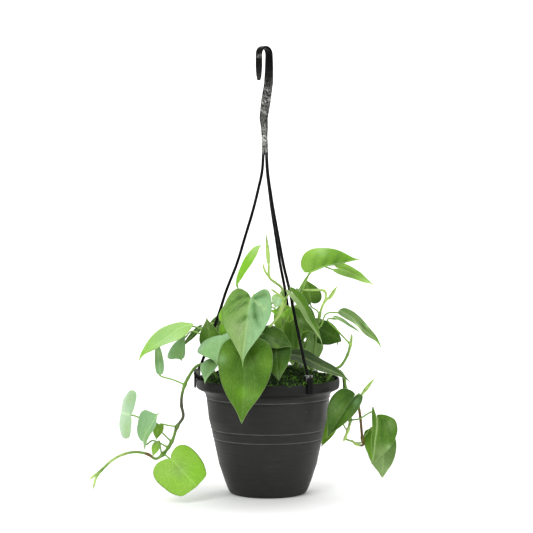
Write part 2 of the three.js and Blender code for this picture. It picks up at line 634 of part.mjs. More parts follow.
// Soil and moss: both are cut clear of every stem.
function cutByVines(body) {
  return Object.values(fatVines).reduce((rest, vine) => rest.subtract(vine), body);
}

function makeSoil() {
  const walls = POT_INSIDE.filter(([, z]) => z < SOIL_TOP && z > FLOOR_THICKNESS)
    .reverse()
    .map(([r, z]) => [r - 2 * GAP, z + GAP]);
  const bottom = FLOOR_THICKNESS + GAP;
  const profile = [[0, bottom], [BASE_RADIUS, bottom], ...walls, [SOIL_RADIUS, SOIL_TOP], [0, SOIL_TOP]];
  return cutByVines(solid(lathe(profile, POT_SIDES)));
}

function mossHeight(radius, turn) {
  const share = radius / MOSS_EDGE_RADIUS;
  const heights = MOSS_WAVES.map((wave) => wave.share * Math.sin(wave.round * turn + radius / wave.outward));
  const lumps = heights.reduce((sum, height) => sum + height);
  return MOSS_EDGE_HEIGHT + MOSS_RISE * (1 - share * share) + MOSS_LUMP * lumps * Math.min(1, 3 * share);
}

function makeMoss() {
  const bottom = SOIL_TOP + GAP;
  const sector = (turn, r, z) => new THREE.Vector3(r * Math.cos(turn), r * Math.sin(turn), z);
  const ring = (radius, height) => {
    const points = [];
    for (let k = 0; k < MOSS_SECTORS; k++) {
      const turn = (2 * Math.PI * k) / MOSS_SECTORS;
      points.push(sector(turn, radius, height(radius, turn)));
    }
    return points;
  };
  const foot = ring(MOSS_FOOT_RADIUS, () => bottom);
  const ledge = ring(MOSS_LEDGE_RADIUS, () => bottom + MOSS_LEDGE_RISE);
  const rings = [foot, ledge, ring(MOSS_EDGE_RADIUS, mossHeight)];
  for (let k = MOSS_RINGS - 1; k > 0; k--) rings.push(ring((MOSS_EDGE_RADIUS * k) / MOSS_RINGS, mossHeight));
  return cutByVines(loft(rings));
}

place("soil", makeSoil(), "soil");
place("moss", makeMoss(), "moss");

export default plant;
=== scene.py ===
"""Dresses the CAD frame of a heartleaf philodendron in a hanging pot: fine blades, stems, moss, pot and hanger.

Laid out as an add-on and run as a script. Routes and profiles are in millimetres, meshes in metres.
"""

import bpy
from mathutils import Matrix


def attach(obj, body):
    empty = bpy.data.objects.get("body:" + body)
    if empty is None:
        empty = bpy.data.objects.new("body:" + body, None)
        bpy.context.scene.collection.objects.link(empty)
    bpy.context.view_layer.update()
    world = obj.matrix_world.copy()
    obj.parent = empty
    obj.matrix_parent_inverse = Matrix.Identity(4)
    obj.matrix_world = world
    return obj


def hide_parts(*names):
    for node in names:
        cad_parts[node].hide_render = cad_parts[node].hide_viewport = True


bl_info = {
    "name": "Hanging heartleaf philodendron",
    "version": (1, 0, 0),
    "blender": (4, 5, 0),
    "location": "View3D > Sidebar > Philodendron",
    "description": "Builds the visual pieces of a potted heartleaf philodendron over its CAD frame",
    "category": "Object",
}

import math

import bmesh
import bpy
import numpy as np
from mathutils import Vector

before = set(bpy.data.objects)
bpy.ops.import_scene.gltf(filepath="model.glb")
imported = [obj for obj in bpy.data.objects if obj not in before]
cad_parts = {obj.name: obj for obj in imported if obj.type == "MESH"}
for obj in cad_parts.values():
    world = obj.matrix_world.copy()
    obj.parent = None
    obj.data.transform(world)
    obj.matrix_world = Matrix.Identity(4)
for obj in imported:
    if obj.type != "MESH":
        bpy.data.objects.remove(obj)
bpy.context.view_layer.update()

MM = 0.001
SEED = 7

# Camera: a long lens, level with the strands and tipped down a little, in metres and degrees.
CAMERA_PLACE = (-0.0017, -2.036, 0.372)
CAMERA_TIP = 3.136
CAMERA_LENS = 120.0
CAMERA_SENSOR = 36.0

# Stage: area lights as name, place, target, width and power, then the floor and its backdrop, in metres.
LIGHTS = [
    ("key", (-1.3, -2.2, 2.1), (0, 0, 0.15), 1.4, 42),
    ("fill", (1.9, -1.8, 0.9), (0, 0, 0.15), 1.6, 14),
    ("top", (0.2, 0.6, 2.3), (0, 0, 0.2), 1.6, 22),
    ("backdrop", (0, 2.6, 3.6), (0, 4.5, 1.2), 3.0, 130),
]
LIGHT_ASPECT = 0.8
WORLD_LIGHT = 0.8
FLOOR_HALF = 9.0
FLOOR_BACK = 3.0
SWEEP_RADIUS = 1.5
BACKDROP_TOP = 7.0
FLOOR_DROP = 0.0004
FLOOR_SHADES = (0.86, 0.86, 0.86), (0.9, 0.9, 0.9)

# Pot profile as radius and height, in mm.
POT_WALL_LINE = [
    (45.8, 3.6), (46.4, 4.6), (50.4, 15), (56.6, 33.6), (61.8, 58.4), (63.6, 66), (65.5, 75), (68.2, 85.8),
    (71, 110.3), (72.5, 115.5), (76, 118.6), (80.6, 120.4), (82.2, 122), (82.5, 123.8),
]
POT_RIDGES = [64.5, 75.2, 110.9]
POT_INSIDE_LINE = [
    (80.7, 131.6), (80.7, 125), (79, 122.8), (72.5, 119.6), (69.2, 111), (66.2, 85.8), (60, 58.4), (54.6, 33.6),
    (48.3, 15), (44.8, 3.4), (43, 2.4),
]
POT_FOOT_LINE = [(40, 0.9), (42, 0), (43.4, 0.1), (44.6, 1.4), (45.3, 2.6)]
POT_HEIGHT = 132.3
POT_LIP_LINE = [
    (82.5, 124.2), (82.55, 127.5), (82.5, 130.9), (82.3, 131.7), (81.9, POT_HEIGHT), (81.3, POT_HEIGHT),
    (80.85, 132),
]
POT_WALL_SPAN = (4.6, 123.8)
POT_WALL_STEP = 0.55
POT_RIM_RADIUS = 82.5
RIDGE_RISE = 0.6
RIDGE_REACH = 0.6
GROOVE_REACH = 0.8
GROOVE_BELOW_RIDGE = 1.5
RING_SPAN = (8, 61)
DRAIN_CIRCLE = 26.0
DRAIN_COUNT = 6
DRAIN_RADII = (2.6, 2.5, 2.4)

# Hanger, in mm.
STRAND_FALL = [
    (2.2, 397), (4, 370), (8.5, 350), (15, 325), (25, 293), (34.2, 264), (46.8, 233), (56.5, 204), (78, 146),
    (81.6, 140),
]
STRAND_SHIFT = -3.0
STRAND_SIDES = 14
CLIP_ANGLES = [-176.3, -56.3, 63.7]
CLIP_TOP = 143.0
CLIP_BOTTOM = 121.5
CLIP_WIDTH = 7.0
CLIP_FACES = (80.0, 82.85)
CLIP_THICKNESS = 2.2
CLIP_BRIDGE = 132.65
CLIP_BACK_END = 127.3
CLIP_SNAP = (136.5, 137.6, 139)
CLIP_SNAP_LIFT = 0.7
CLIP_ROUNDING = 0.7
CLIP_SECTIONS = [(-1, 0.55), (-0.94, 0.14), (-0.86, 0), (0.86, 0), (0.94, 0.14), (1, 0.55)]
# Share of the pale colour on the top of each clip: a painted highlight on the snap.
SNAP_HIGHLIGHT = 0.42
STRAP_LINE = [
    (-3, 388, 7), (-4, 408, 7), (-4, 419, 8), (-5, 430, 10), (-2.5, 449, 12), (0.6, 470, 12), (1.2, 486, 11.8),
]
STRAP_STEP = 1.4
STRAP_CREASES = [(437, 0.5), (449, -0.35), (462, 0.4)]
CREASED_BELOW = 480
RUMPLED_SPAN = (425, 475)
JOINT_GROOVE_SPAN = (392, 422)
JOINT_GROOVE_DEPTH = 0.8
JOINT_GROOVE_REACH = 0.9
HOOK_TURN = Vector((-0.64, -0.77, 0)).normalized()
HOOK_RADIUS = 9.0
HOOK_HEIGHT = 512.0
HOOK_BAND = (10.6, 9.2)
HOOK_INSET = 1.3
HOOK_TAIL = [(489, 9.2), (479, 7.6), (474.5, 5.4), (472.6, 3)]

# Pale marks as height and reach in mm: where bending left the hanger pale round the joint, then painted highlights
# across the strap and along the hook's band, and the heights between which crease tops get painted highlights.
STRESS_JOINT = (398, 7)
STRESS_MIDDLE = (408, 9)
STRESS_WEDGE = (420, 5)
STRAP_SHEEN_HIGHLIGHT = (448, 22)
HOOK_BAND_HIGHLIGHT = (500, 1.6)
CREASE_HIGHLIGHT_SPAN = (428, 472)

# Moss, in mm.
MOSS_FOOT = (68.4, 112.35)
MOSS_LEDGE = (71.0, 119.95)
MOSS_EDGE = (76.6, 126.0)
MOSS_RISE = 18.0
MOSS_LUMP = 1.6
MOSS_SECTORS = 120
MOSS_RINGS = 26
MOSS_CORE = 1.5
# Thread value of the mound under the threads: it gives the mound the deep colour, painted shade between the threads.
MOSS_BODY_SHADE = 0.08
SPILL_DEGREES = (-125, -35)
SPILL_LINE = ((76, 129.5), (81.6, 133.4))
SPILL_SHARE = 0.35

# Moss threads: the spiral of each one, its tip in metres, then the tilt either way in radians and the range of
# sizes that are drawn at random.
THREAD_STEPS = 10
THREAD_TURNS = 1.1
THREAD_TIP = 0.0006
THREAD_SIDES = 3
THREAD_TILT = (1.3, 1.3, 3.14)
THREAD_SIZES = (0.55, 1.35)

# Stems: routes from their holes in the soil outwards, in mm.
VINES = {
    "left_trailer": [
        [(-46, -16, 96), (-56, -20, 130), (-68, -22, 149), (-80, -25, 149), (-91, -31, 135), (-97, -35, 119),
         (-98, -36, 105), (-96, -36, 92), (-103, -38, 81), (-108, -40, 66), (-118, -42, 51), (-127, -42, 45),
         (-135, -43, 50), (-148, -44, 53), (-162, -45, 51), (-176, -47, 44), (-188, -48, 33), (-201, -50, 23)],
        [(-187, -48, 34), (-194, -49, 24), (-197, -50, 12)],
    ],
    "right_trailer": [
        [(60, 4, 96), (66, 2, 128), (76, 0, 141), (85, -3, 138), (88, -5, 121), (92, -6, 102), (94.5, -6, 84),
         (91.5, -6, 71), (87, -6, 59)],
    ],
    "brown_trailer": [
        [(58, -24, 96), (66, -21, 128), (76, -18, 141), (86, -16, 137), (89, -14, 122), (95, -13, 112),
         (102, -13, 106), (105, -12, 94), (108, -12, 65), (109, -12, 56), (101, -12, 57), (96, -12, 62)],
        [(102, -13, 106), (104, -18, 111), (108, -22, 117), (114, -24, 125)],
    ],
    "crown_left": [[(-34, -6, 96), (-42, -10, 140), (-52, -16, 168), (-62, -20, 186), (-70, -22, 192)]],
    "crown_front": [
        [(-6, -22, 96), (-8, -32, 140), (-7, -40, 176), (-6, -42, 204), (-8, -38, 222)],
        [(-7, -41, 184), (3, -43, 196), (14, -41, 210), (19, -40, 224), (12, -43, 231), (3, -45, 238)],
    ],
    "crown_top": [
        [(12, 8, 96), (14, 14, 160), (18, 18, 210), (16, 21, 234), (8, 22, 241), (2, 23, 246), (1, 24, 264)],
        [(3, 23, 245), (-3, 23, 253), (-6, 23, 263)],
    ],
    "crown_right": [[(28, 6, 96), (34, 4, 150), (38, 3, 200), (36, 1, 224), (33, 0, 236)]],
    "right_shoot": [
        [(44, 12, 96), (52, 10, 150), (58, 8, 196), (64, 7, 217), (73, 6, 227)],
        [(64, 7, 217), (67, 6, 226), (65, 5, 232), (50, 4, 233), (36, 3, 233)],
    ],
    "right_riser": [
        [(62, -12, 96), (66, -12, 134), (75, -12, 143), (83, -12, 147), (91, -12, 160), (95, -11, 175),
         (96, -10, 184)],
    ],
    "back_left": [[(-22, 30, 96), (-30, 40, 140), (-38, 48, 178), (-44, 52, 206)]],
    "back_right": [
        [(24, 36, 96), (34, 48, 138), (46, 58, 168), (52, 63, 189)],
    ],
}
BUDS = {
    "crown_top": ((1, 24, 260), (-2, 25, 297), 2.6),
    "crown_front": ((11, -42, 205), (21, -40, 230), 2.3),
    "right_shoot": ((70, 6, 222), (80, 6, 238), 2.3),
    "brown_trailer": ((107, -22, 116), (121.5, -25, 135), 2.2),
}
NODE_REACH = 2.4
NODE_LIMIT = 9
BEND_REACH = 1.8
BEND_LIMIT = 3
BEND_SWELLING = 0.22
STEM_STEP = 1.6
STEM_UNEVENNESS = 0.0002
BRANCH_GIRTH = 0.8
TIP_GIRTHS = (0.9, 0.65, 0.3)
NUB_REACHES = (0.6, 1.6, 2.5, 3.1)
NUB_GIRTHS = (0.7, 0.6, 0.45, 0.15)
NUB_CEILING = 134
BUD_PROFILE = [(0, 0.15), (0.08, 0.7), (0.2, 0.92), (0.35, 1), (0.55, 0.9), (0.75, 0.6), (0.9, 0.3), (1, 0.06)]

# Where stems are corky, red-brown or pale and young: (x, y, z, reach in mm, strength).
CORKY_PLACES = {
    "left_trailer": [(-97, -36, 98, 22, 0.9), (-80, -25, 149, 24, 0.3), (-96, -36, 92, 6, 0.6)],
    "right_trailer": [(88, -5, 121, 34, 0.6)],
    "right_riser": [(66, -12, 130, 24, 0.5)],
}
BROWN_PLACES = {
    "left_trailer": [(-135, -43, 50, 5, 0.8), (-155, -44, 54, 26, 0.3)],
    "brown_trailer": [(107, -12, 80, 20, 1.2), (109, -12, 57, 3, 0.8)],
}
PALE_PLACES = {
    "left_trailer": [(-170, -46, 48, 22, 0.5), (-200, -50, 20, 14, 0.8), (-121, -42, 48, 5, 0.5)],
    "right_trailer": [(89, -6, 64, 16, 1.2)],
    "brown_trailer": [(114, -24, 125, 22, 0.6), (98, -12, 59, 11, 1.2)],
    "crown_front": [(16, -42, 216, 26, 1.2)],
    "crown_top": [(0, 24, 262, 34, 1.0)],
    "right_shoot": [(66, 6, 228, 30, 0.8)],
    "right_riser": [(96, -10, 184, 22, 0.6)],
}

# Leaves: stem, where the petiole leaves it, its route, attachment, tip, facing and form of the blade, in mm,
# then its look and the shades on it. A shade is (palette name, centre u, centre v, reach, strength).
# A fold is (first u, first v, last u, last v, reach, depth in mm): sunk with painted shade in it, or raised with
# a painted highlight where its depth is below zero. Slant leans the side veins towards the tip, and paleness says how
# pale the ribs are.
LEAVES = {
    # Its mint right half is painted sheen, the sky reflected on that half.
    "front_upper": dict(vine="crown_front", start=(-7, -41, 196), at=(-19, -66, 228), tip=(-28, -92, 151),
                        face=(-0.3, -0.94, 0.36), width=0.352, taper=1.45, lobe=1.35, skew=-0.075, look="mature",
                        quilt=1.0, veins=4, slant=0.3, paleness=0.35, left="leafy", right="mint",
                        shades=[("olive", 0.45, -0.1, 0.16, 0.85), ("olive", 0.15, -0.1, 0.1, 0.5),
                                ("mature", -0.14, -0.16, 0.1, 0.6), ("olive", 0.75, -0.05, 0.15, 0.6),
                                ("mature", 0.2, 0.12, 0.1, 0.35), ("mature", -0.1, 0.16, 0.1, 0.4),
                                ("mature", 0.97, 0.0, 0.1, 0.6)],
                        folds=[(-0.05, -0.03, -0.02, -0.17, 0.04, 1.4), (-0.02, -0.17, 0.14, -0.33, 0.035, 1.2),
                               (0.06, -0.06, 0.22, -0.26, 0.035, 1.7), (0.27, -0.02, 0.36, -0.12, 0.035, 1.2),
                               (0.08, 0.06, 0.25, 0.1, 0.035, 1.6), (0.25, 0.1, 0.4, 0.18, 0.035, 1.1),
                               (0.02, 0.05, 0.18, 0.27, 0.016, -0.45), (-0.01, 0.06, -0.06, 0.2, 0.04, 1.0)]),
    "front_lower": dict(vine="crown_front", start=(-8, -36, 158), at=(-24, -72, 176), tip=(-29, -104, 94),
                        face=(0, -1, 0.4), width=0.345, taper=0.75, look="mature", quilt=0.2, veins=3, slant=0.6,
                        paleness=0.12,
                        shades=[("shadow", 0.08, 0.0, 0.16, 0.4), ("deep", 0.4, 0.0, 0.3, 0.4),
                                ("fresh", 0.66, 0.17, 0.12, 0.2), ("fresh", 0.5, -0.22, 0.12, 0.16),
                                ("fresh", 0.25, 0.28, 0.1, 0.2), ("fresh", 0.12, -0.24, 0.1, 0.2),
                                ("mint", 0.2, -0.3, 0.06, 0.45), ("lime", 0.62, 0.0, 0.1, 0.3),
                                ("mature", 0.85, 0.0, 0.12, 0.5)],
                        folds=[(0.05, -0.06, 0.5, -0.2, 0.035, 0.3), (0.05, 0.06, 0.5, 0.2, 0.035, 0.3)]),
    "front_dark": dict(vine="crown_front", start=(-8, -33, 146), at=(9, -48, 176), tip=(12, -66, 136),
                       face=(-0.1, -0.9, 0.4), width=0.38, taper=0.7, look="dark", slant=0.5, paleness=0.15,
                       shades=[("shadow", 0.05, -0.1, 0.3, 0.7), ("mature", 0.75, 0.1, 0.3, 0.8),
                               ("olive", 0.9, 0.05, 0.15, 0.4)]),
    "front_tucked": dict(vine="crown_front", start=(-7, -39, 172), at=(-5, -47, 187), tip=(26, -57, 174),
                         face=(0, -0.85, 0.5), width=0.4, taper=0.6, look="dark", paleness=0.15,
                         shades=[("mature", 0.4, 0.2, 0.3, 0.6), ("olive", 0.4, -0.15, 0.25, 0.5),
                                 ("fresh", 0.6, -0.25, 0.1, 0.4), ("shadow", 0.5, -0.05, 0.08, 0.6)]),
    "upright_bright": dict(vine="crown_front", start=(-7, -40, 213), at=(-36, -18, 239), tip=(-9, -14, 286),
                           face=(-0.6, -0.7, 0.35), width=0.13, taper=0.5, lobe=0.25, sweep=0.3, look="fresh",
                           quilt=0.2, paleness=0.1,
                           shades=[("lime", 0.45, 0.02, 0.35, 0.9), ("pale", 0.9, 0.0, 0.2, 0.4)]),
    "strand_narrow": dict(vine="crown_front", start=(18, -41, 222), via=(24, -45, 235), at=(28, -54, 233),
                          tip=(62, -56, 172), face=(0.6, -0.6, 0.4), width=0.13, look="mature", quilt=0.2,
                          paleness=0.25, left="olive", right="mature",
                          shades=[("mature", 0.3, -0.1, 0.3, 0.45), ("pale", 0.5, -0.13, 0.04, 0.5),
                                  ("deep", 0.5, 0.05, 0.12, 0.4), ("pale", 0.6, 0.12, 0.03, 0.5)]),
    "left_broad": dict(vine="crown_left", start=(-60, -19, 183), at=(-88, -22, 196), tip=(-146, -55, 158),
                       face=(-0.35, -0.4, 0.85), width=0.28, taper=0.8, lobe=0.4, sweep=0.12, look="fresh", veins=8,
                       slant=0.4, paleness=0.3,
                       shades=[("pale", 0.5, 0.22, 0.3, 0.5), ("mint", 0.45, -0.05, 0.35, 0.4),
                               ("lime", 0.85, -0.05, 0.2, 0.4)]),
    "left_mint": dict(vine="crown_left", start=(-46, -13, 153), at=(-52, -38, 184), tip=(-57, -66, 154),
                      face=(-0.45, -0.65, 0.6), width=0.58, taper=1.0, lobe=0.4, skew=-0.42, sweep=-0.05, look="mint",
                      quilt=0.3, paleness=0.2,
                      shades=[("fresh", 0.5, -0.3, 0.4, 0.25), ("mature", 0.95, 0.0, 0.2, 0.4)]),
    "left_rim": dict(vine="crown_left", start=(-44, -11, 147), at=(-60, -48, 156), tip=(-71, -62, 132),
                     face=(-0.6, -0.7, 0.4), width=0.42, fold=0.4, skew=-0.15, look="mint", quilt=0.3, paleness=0.3,
                     shades=[("mature", 0.0, 0.1, 0.45, 0.9), ("mature", 0.5, -0.05, 0.2, 0.4)]),
    "left_dark": dict(vine="crown_left", start=(-51, -15, 166), at=(-65, -20, 172), tip=(-70, -21, 206),
                      face=(-0.1, -1, 0.1), width=0.36, look="dark", paleness=0.2,
                      shades=[("mature", 0.5, 0.0, 0.5, 0.9), ("fresh", 0.3, -0.15, 0.2, 0.25),
                              ("olive", 0.7, 0.05, 0.2, 0.3)]),
    "left_hanging": dict(vine="crown_left", start=(-57, -18, 177), at=(-95, -4, 181), tip=(-98, -15, 148),
                         face=(-0.5, -0.8, 0.2), width=0.39, fold=0.2, taper=2.0, lobe=0.3, skew=-0.7, sweep=0.47,
                         look="mint", paleness=0.25,
                         shades=[("mature", 0.05, 0.0, 0.2, 0.7), ("fresh", 0.6, -0.2, 0.3, 0.35)]),
    "left_young_upper": dict(vine="crown_left", start=(-45, -12, 151), via=(-41, -13, 182), at=(-49, -26, 201),
                             tip=(-51, -25, 218), face=(-0.2, -1, 0.1), width=0.4, look="fresh", paleness=0.2,
                             shades=[("lime", 0.5, 0.0, 0.6, 0.8)]),
    "left_young_lower": dict(vine="crown_left", start=(-50, -15, 162), via=(-46, -10, 174), at=(-50, -12, 184),
                             tip=(-54, -13, 199), face=(0, -1, 0.2), width=0.34, look="fresh", paleness=0.2,
                             shades=[("lime", 0.5, 0.0, 0.6, 0.8)]),
    "left_behind": dict(vine="back_left", start=(-35, 45, 164), via=(-60, 26, 184), at=(-78, 12, 189),
                        tip=(-100, 14, 165), face=(-0.2, -0.8, 0.5), width=0.12, taper=0.6, look="dark"),
    "trail_narrow": dict(vine="left_trailer", start=(-94, -33, 128), via=(-107, -36, 134), bend=0.1,
                         at=(-122, -40, 142), tip=(-126, -30, 179), face=(0.2, -1, 0), width=0.137, taper=0.5,
                         lobe=0.4, look="mint", quilt=0.2, paleness=0.3,
                         shades=[("mature", 0.4, 0.1, 0.4, 0.3), ("pale", 0.6, -0.03, 0.2, 0.4)]),
    "trail_edgewise": dict(vine="left_trailer", start=(-109, -40, 64), via=(-130, -23, 80), bend=0.1,
                           at=(-156, -36, 94), tip=(-171, 27, 89), face=(-0.95, -0.2, 0.18), width=0.43, fold=0.08,
                           wave=0.0, taper=0.3, look="mint", quilt=0.15, veins=9, paleness=0.8,
                           shades=[("frost", 0.4, 0.1, 0.6, 0.4), ("fresh", 0.1, 0.3, 0.2, 0.4),
                                   ("fresh", 0.2, -0.3, 0.15, 0.3)]),
    "trail_mint": dict(vine="left_trailer", start=(-113, -41, 58), via=(-130, -44, 66), at=(-141, -44, 65),
                       tip=(-120, -64, 102), face=(-0.55, -0.8, 0.25), width=0.31, lobe=2.3, lean=-0.5, skew=0.5,
                       sweep=0.3, look="mint", quilt=0.4, veins=4, paleness=0.4,
                       shades=[("fresh", 0.2, -0.2, 0.25, 0.4)]),
    "trail_oval": dict(vine="left_trailer", start=(-103, -38, 81), bend=0.15, at=(-123, -42, 83), tip=(-126, -46, 67),
                       face=(-0.2, -1, 0.1), width=0.37, taper=0.7, lobe=1.4, look="mature", quilt=0.3, paleness=0.15,
                       shades=[("fresh", 0.5, 0.0, 0.7, 0.8)]),
    "trail_small": dict(vine="left_trailer", start=(-120, -42, 49), at=(-125, -52, 63), tip=(-130, -52, 48),
                        face=(-0.2, -1, 0.1), width=0.3, lobe=1.2, look="mature", quilt=0.3, paleness=0.15,
                        shades=[("fresh", 0.5, 0.0, 0.7, 0.8)]),
    "trail_heart": dict(vine="left_trailer", start=(-118, -42, 51), at=(-109, -60, 48), tip=(-80, -70, 18),
                        face=(0.03, -0.88, 0.43), width=0.64, taper=0.13, lobe=1.3, skew=-0.04, look="fresh",
                        quilt=0.2, veins=6, slant=0.45, paleness=0.3,
                        shades=[("olive", 0.4, -0.05, 0.22, 0.45), ("lime", 0.75, 0.3, 0.35, 0.7),
                                ("lime", 0.1, 0.5, 0.25, 0.4), ("lime", 0.6, -0.35, 0.25, 0.3)]),
    "right_fresh": dict(vine="crown_right", start=(34, 1, 231), at=(47, -2, 254), tip=(111, -2, 268),
                        face=(0, -0.45, 0.9), width=0.38, fold=0.75, taper=1.3, look="fresh", quilt=0.5, veins=4,
                        slant=0.35, paleness=0.15,
                        shades=[("mature", 0.55, -0.05, 0.4, 0.85), ("mature", 0.25, -0.15, 0.2, 0.5),
                                ("lime", 0.5, 0.0, 0.5, 0.3), ("pale", 0.3, 0.3, 0.12, 0.35),
                                ("lime", 0.75, 0.12, 0.12, 0.35), ("deep", 0.5, -0.16, 0.14, 0.3)],
                        folds=[(0.08, 0.0, 0.2, 0.24, 0.035, 0.4), (0.26, 0.0, 0.42, 0.22, 0.035, 0.6),
                               (0.46, 0.0, 0.6, 0.16, 0.035, 0.6), (0.64, 0.0, 0.75, 0.08, 0.03, 0.4)]),
    "right_behind": dict(vine="crown_right", start=(36, 2, 225), via=(56, 25, 260), bend=0.1, at=(82, 20, 257),
                         tip=(127, 20, 234), face=(0, -0.6, 0.8), width=0.21, taper=1.3, look="fresh", paleness=0.35,
                         shades=[("mature", 0.3, -0.06, 0.2, 0.6), ("pale", 0.8, 0.05, 0.2, 0.4)]),
    "right_outer": dict(vine="crown_right", start=(38, 3, 184), via=(60, -6, 192), at=(84, -12, 210),
                        tip=(131, -22, 166), face=(0.5, -0.35, 0.8), width=0.24, taper=0.9, lobe=0.4, look="mature",
                        quilt=0.3, veins=4, slant=0.6, paleness=0.5,
                        shades=[("olive", 0.5, -0.1, 0.4, 0.55), ("mature", 0.5, 0.04, 0.14, 0.7),
                                ("deep", 0.45, 0.03, 0.08, 0.6), ("pale", 0.4, -0.18, 0.08, 0.7),
                                ("pale", 0.5, 0.15, 0.05, 0.6), ("lime", 0.95, 0.0, 0.12, 0.8)]),
    "right_tucked": dict(vine="crown_right", start=(37, 3, 190), at=(36, -9, 212), tip=(58, -14, 179),
                         face=(0.1, -0.9, 0.4), width=0.3, look="dark", paleness=0.2,
                         shades=[("mature", 0.4, 0.1, 0.5, 0.7), ("olive", 0.3, -0.2, 0.1, 0.5)]),
    "right_narrow": dict(vine="right_riser", start=(94, -11, 172), at=(78, -6, 202), tip=(111, -7, 180),
                         face=(0.4, -0.6, 0.6), width=0.08, look="mature", quilt=0.1, paleness=0.4,
                         shades=[("pale", 0.5, 0.0, 1.0, 0.8), ("frost", 0.6, 0.0, 0.4, 0.5)]),
    "right_dark": dict(vine="right_shoot", start=(60, 8, 203), via=(57, 18, 208), at=(50, 22, 218), tip=(43, 24, 246),
                       face=(0.1, -0.95, 0.3), width=0.5, taper=1.0, look="dark", paleness=0.3,
                       shades=[("fresh", 0.5, 0.0, 0.6, 0.45), ("mature", 0.4, 0.15, 0.25, 0.5),
                               ("mature", 0.6, -0.2, 0.2, 0.5)]),
    "right_low_dark": dict(vine="right_shoot", start=(57, 9, 186), at=(60, 20, 187), tip=(86, 22, 172),
                           face=(0.1, -0.9, 0.4), width=0.5, taper=0.65, skew=-0.1, look="dark", paleness=0.15,
                           shades=[("mature", 0.6, 0.1, 0.35, 0.5)]),
    "right_long": dict(vine="crown_right", start=(34, 4, 150), at=(24, -24, 162), tip=(95, -54, 132),
                       face=(0.2, -0.6, 0.75), width=0.15, taper=0.85, lobe=0.3, look="dark", quilt=0.2,
                       paleness=0.45, rib=1.0,
                       shades=[("shadow", 0.5, 0.0, 1.2, 0.95), ("deep", 0.85, 0.05, 0.2, 0.5),
                               ("olive", 0.6, -0.1, 0.2, 0.2)]),
    "young_pale": dict(vine="crown_top", start=(16, 16, 185), at=(13, -20, 227), tip=(7, -25, 213), face=(0, -1, 0.1),
                       width=0.5, look="fresh", quilt=0.2, paleness=0.2,
                       shades=[("mint", 0.5, 0.0, 0.7, 0.5), ("frost", 0.5, 0.0, 0.5, 0.6)]),
    "young_bright": dict(vine="crown_top", start=(15, 15, 172), at=(21, -14, 201), tip=(29, -17, 217),
                         face=(0, -1, 0.1), width=0.4, look="fresh", quilt=0.3, paleness=0.3,
                         shades=[("lime", 0.6, 0.1, 0.4, 0.8), ("mature", 0.15, -0.15, 0.15, 0.5)]),
    "crown_band": dict(vine="crown_right", start=(37, 2, 220), via=(30, -18, 223), at=(17, -29, 207),
                       tip=(-1, -33, 213), face=(0, -0.8, 0.6), width=0.25, look="fresh", paleness=0.3,
                       shades=[("lime", 0.5, 0.0, 0.6, 0.8), ("mature", 0.4, -0.2, 0.15, 0.6)]),
    "crown_centre": dict(vine="crown_right", start=(35, 4, 162), via=(35, 20, 190), at=(28, 33, 208),
                         tip=(31, 27, 150), face=(0, -0.95, 0.2), width=0.38, look="fresh", quilt=0.3, paleness=0.2,
                         shades=[("mature", 0.5, 0.0, 0.6, 0.9), ("deep", 0.6, 0.1, 0.3, 0.5),
                                 ("fresh", 0.15, -0.25, 0.12, 0.5)]),
    "low_right": dict(vine="brown_trailer", start=(100, -14, 108), at=(97, -45, 116), tip=(66, -52, 69),
                      face=(-0.3, -0.9, 0.3), width=0.3, fold=0.35, taper=0.9, lobe=0.85, lean=0.2, skew=-0.2,
                      look="dark", quilt=0.3, slant=0.5, paleness=0.15,
                      shades=[("olive", 0.4, -0.12, 0.16, 0.35), ("mint", 0.05, 0.12, 0.1, 0.3),
                              ("mature", 0.45, 0.1, 0.25, 0.7), ("mature", 0.2, -0.2, 0.15, 0.6)],
                      folds=[(0.0, 0.02, 0.9, 0.02, 0.035, 0.8), (0.05, -0.1, 0.5, -0.2, 0.03, 0.5)]),
    "low_behind": dict(vine="right_trailer", start=(93, -6, 72), via=(90, 8, 72), at=(77, 22, 75), tip=(62, 27, 46),
                       face=(-0.2, -0.9, 0.3), width=0.3, skew=-0.35, look="fresh", paleness=0.2,
                       shades=[("lime", 0.5, 0.0, 0.5, 0.5)]),
    "low_folded": dict(vine="right_trailer", start=(95, -6, 84), via=(104, -18, 87), at=(124, -18, 89),
                       tip=(118, -28, 36), face=(0.4, -0.9, 0.1), width=0.31, fold=0.35, taper=0.8, lobe=1.3,
                       lean=-0.5, skew=0.58, look="mature", quilt=0.3, slant=0.7, paleness=0.12,
                       shades=[("olive", 0.75, 0.16, 0.18, 0.6), ("olive", 0.15, 0.3, 0.12, 0.3),
                               ("fresh", 0.3, -0.25, 0.2, 0.2), ("pale", 0.6, 0.3, 0.06, 0.4)],
                       folds=[(0.05, 0.1, 0.6, 0.16, 0.03, 0.6), (0.03, 0.16, 0.36, 0.33, 0.03, 0.5),
                              (0.0, 0.0, 1.0, 0.0, 0.014, -0.6)]),
    "low_inner": dict(vine="brown_trailer", start=(108, -12, 62), at=(119, -1, 71), tip=(120, -4, 35),
                      face=(-0.2, -0.9, 0.2), width=0.25, taper=0.7, lobe=0.5, look="mature", quilt=0.2,
                      paleness=0.05, shades=[("fresh", 0.5, 0.0, 0.6, 0.5), ("lime", 0.5, 0.0, 0.6, 0.3)]),
    "low_tip": dict(vine="right_trailer", start=(89, -6, 62), via=(107, 4, 56), at=(134, 6, 62), tip=(132, -2, 16),
                    face=(0.1, -0.9, 0.2), width=0.38, taper=0.65, skew=-0.15, look="mature", quilt=0.3, slant=0.5,
                    paleness=0.3, shades=[("olive", 0.7, 0.0, 0.5, 0.7), ("pale", 0.8, 0.1, 0.12, 0.3)]),
    "back_left_high": dict(vine="back_left", start=(-41, 50, 190), at=(-42, 62, 198), tip=(-76, 98, 154),
                           face=(-0.5, 0.75, 0.4), width=0.31, look="mature", quilt=1.0),
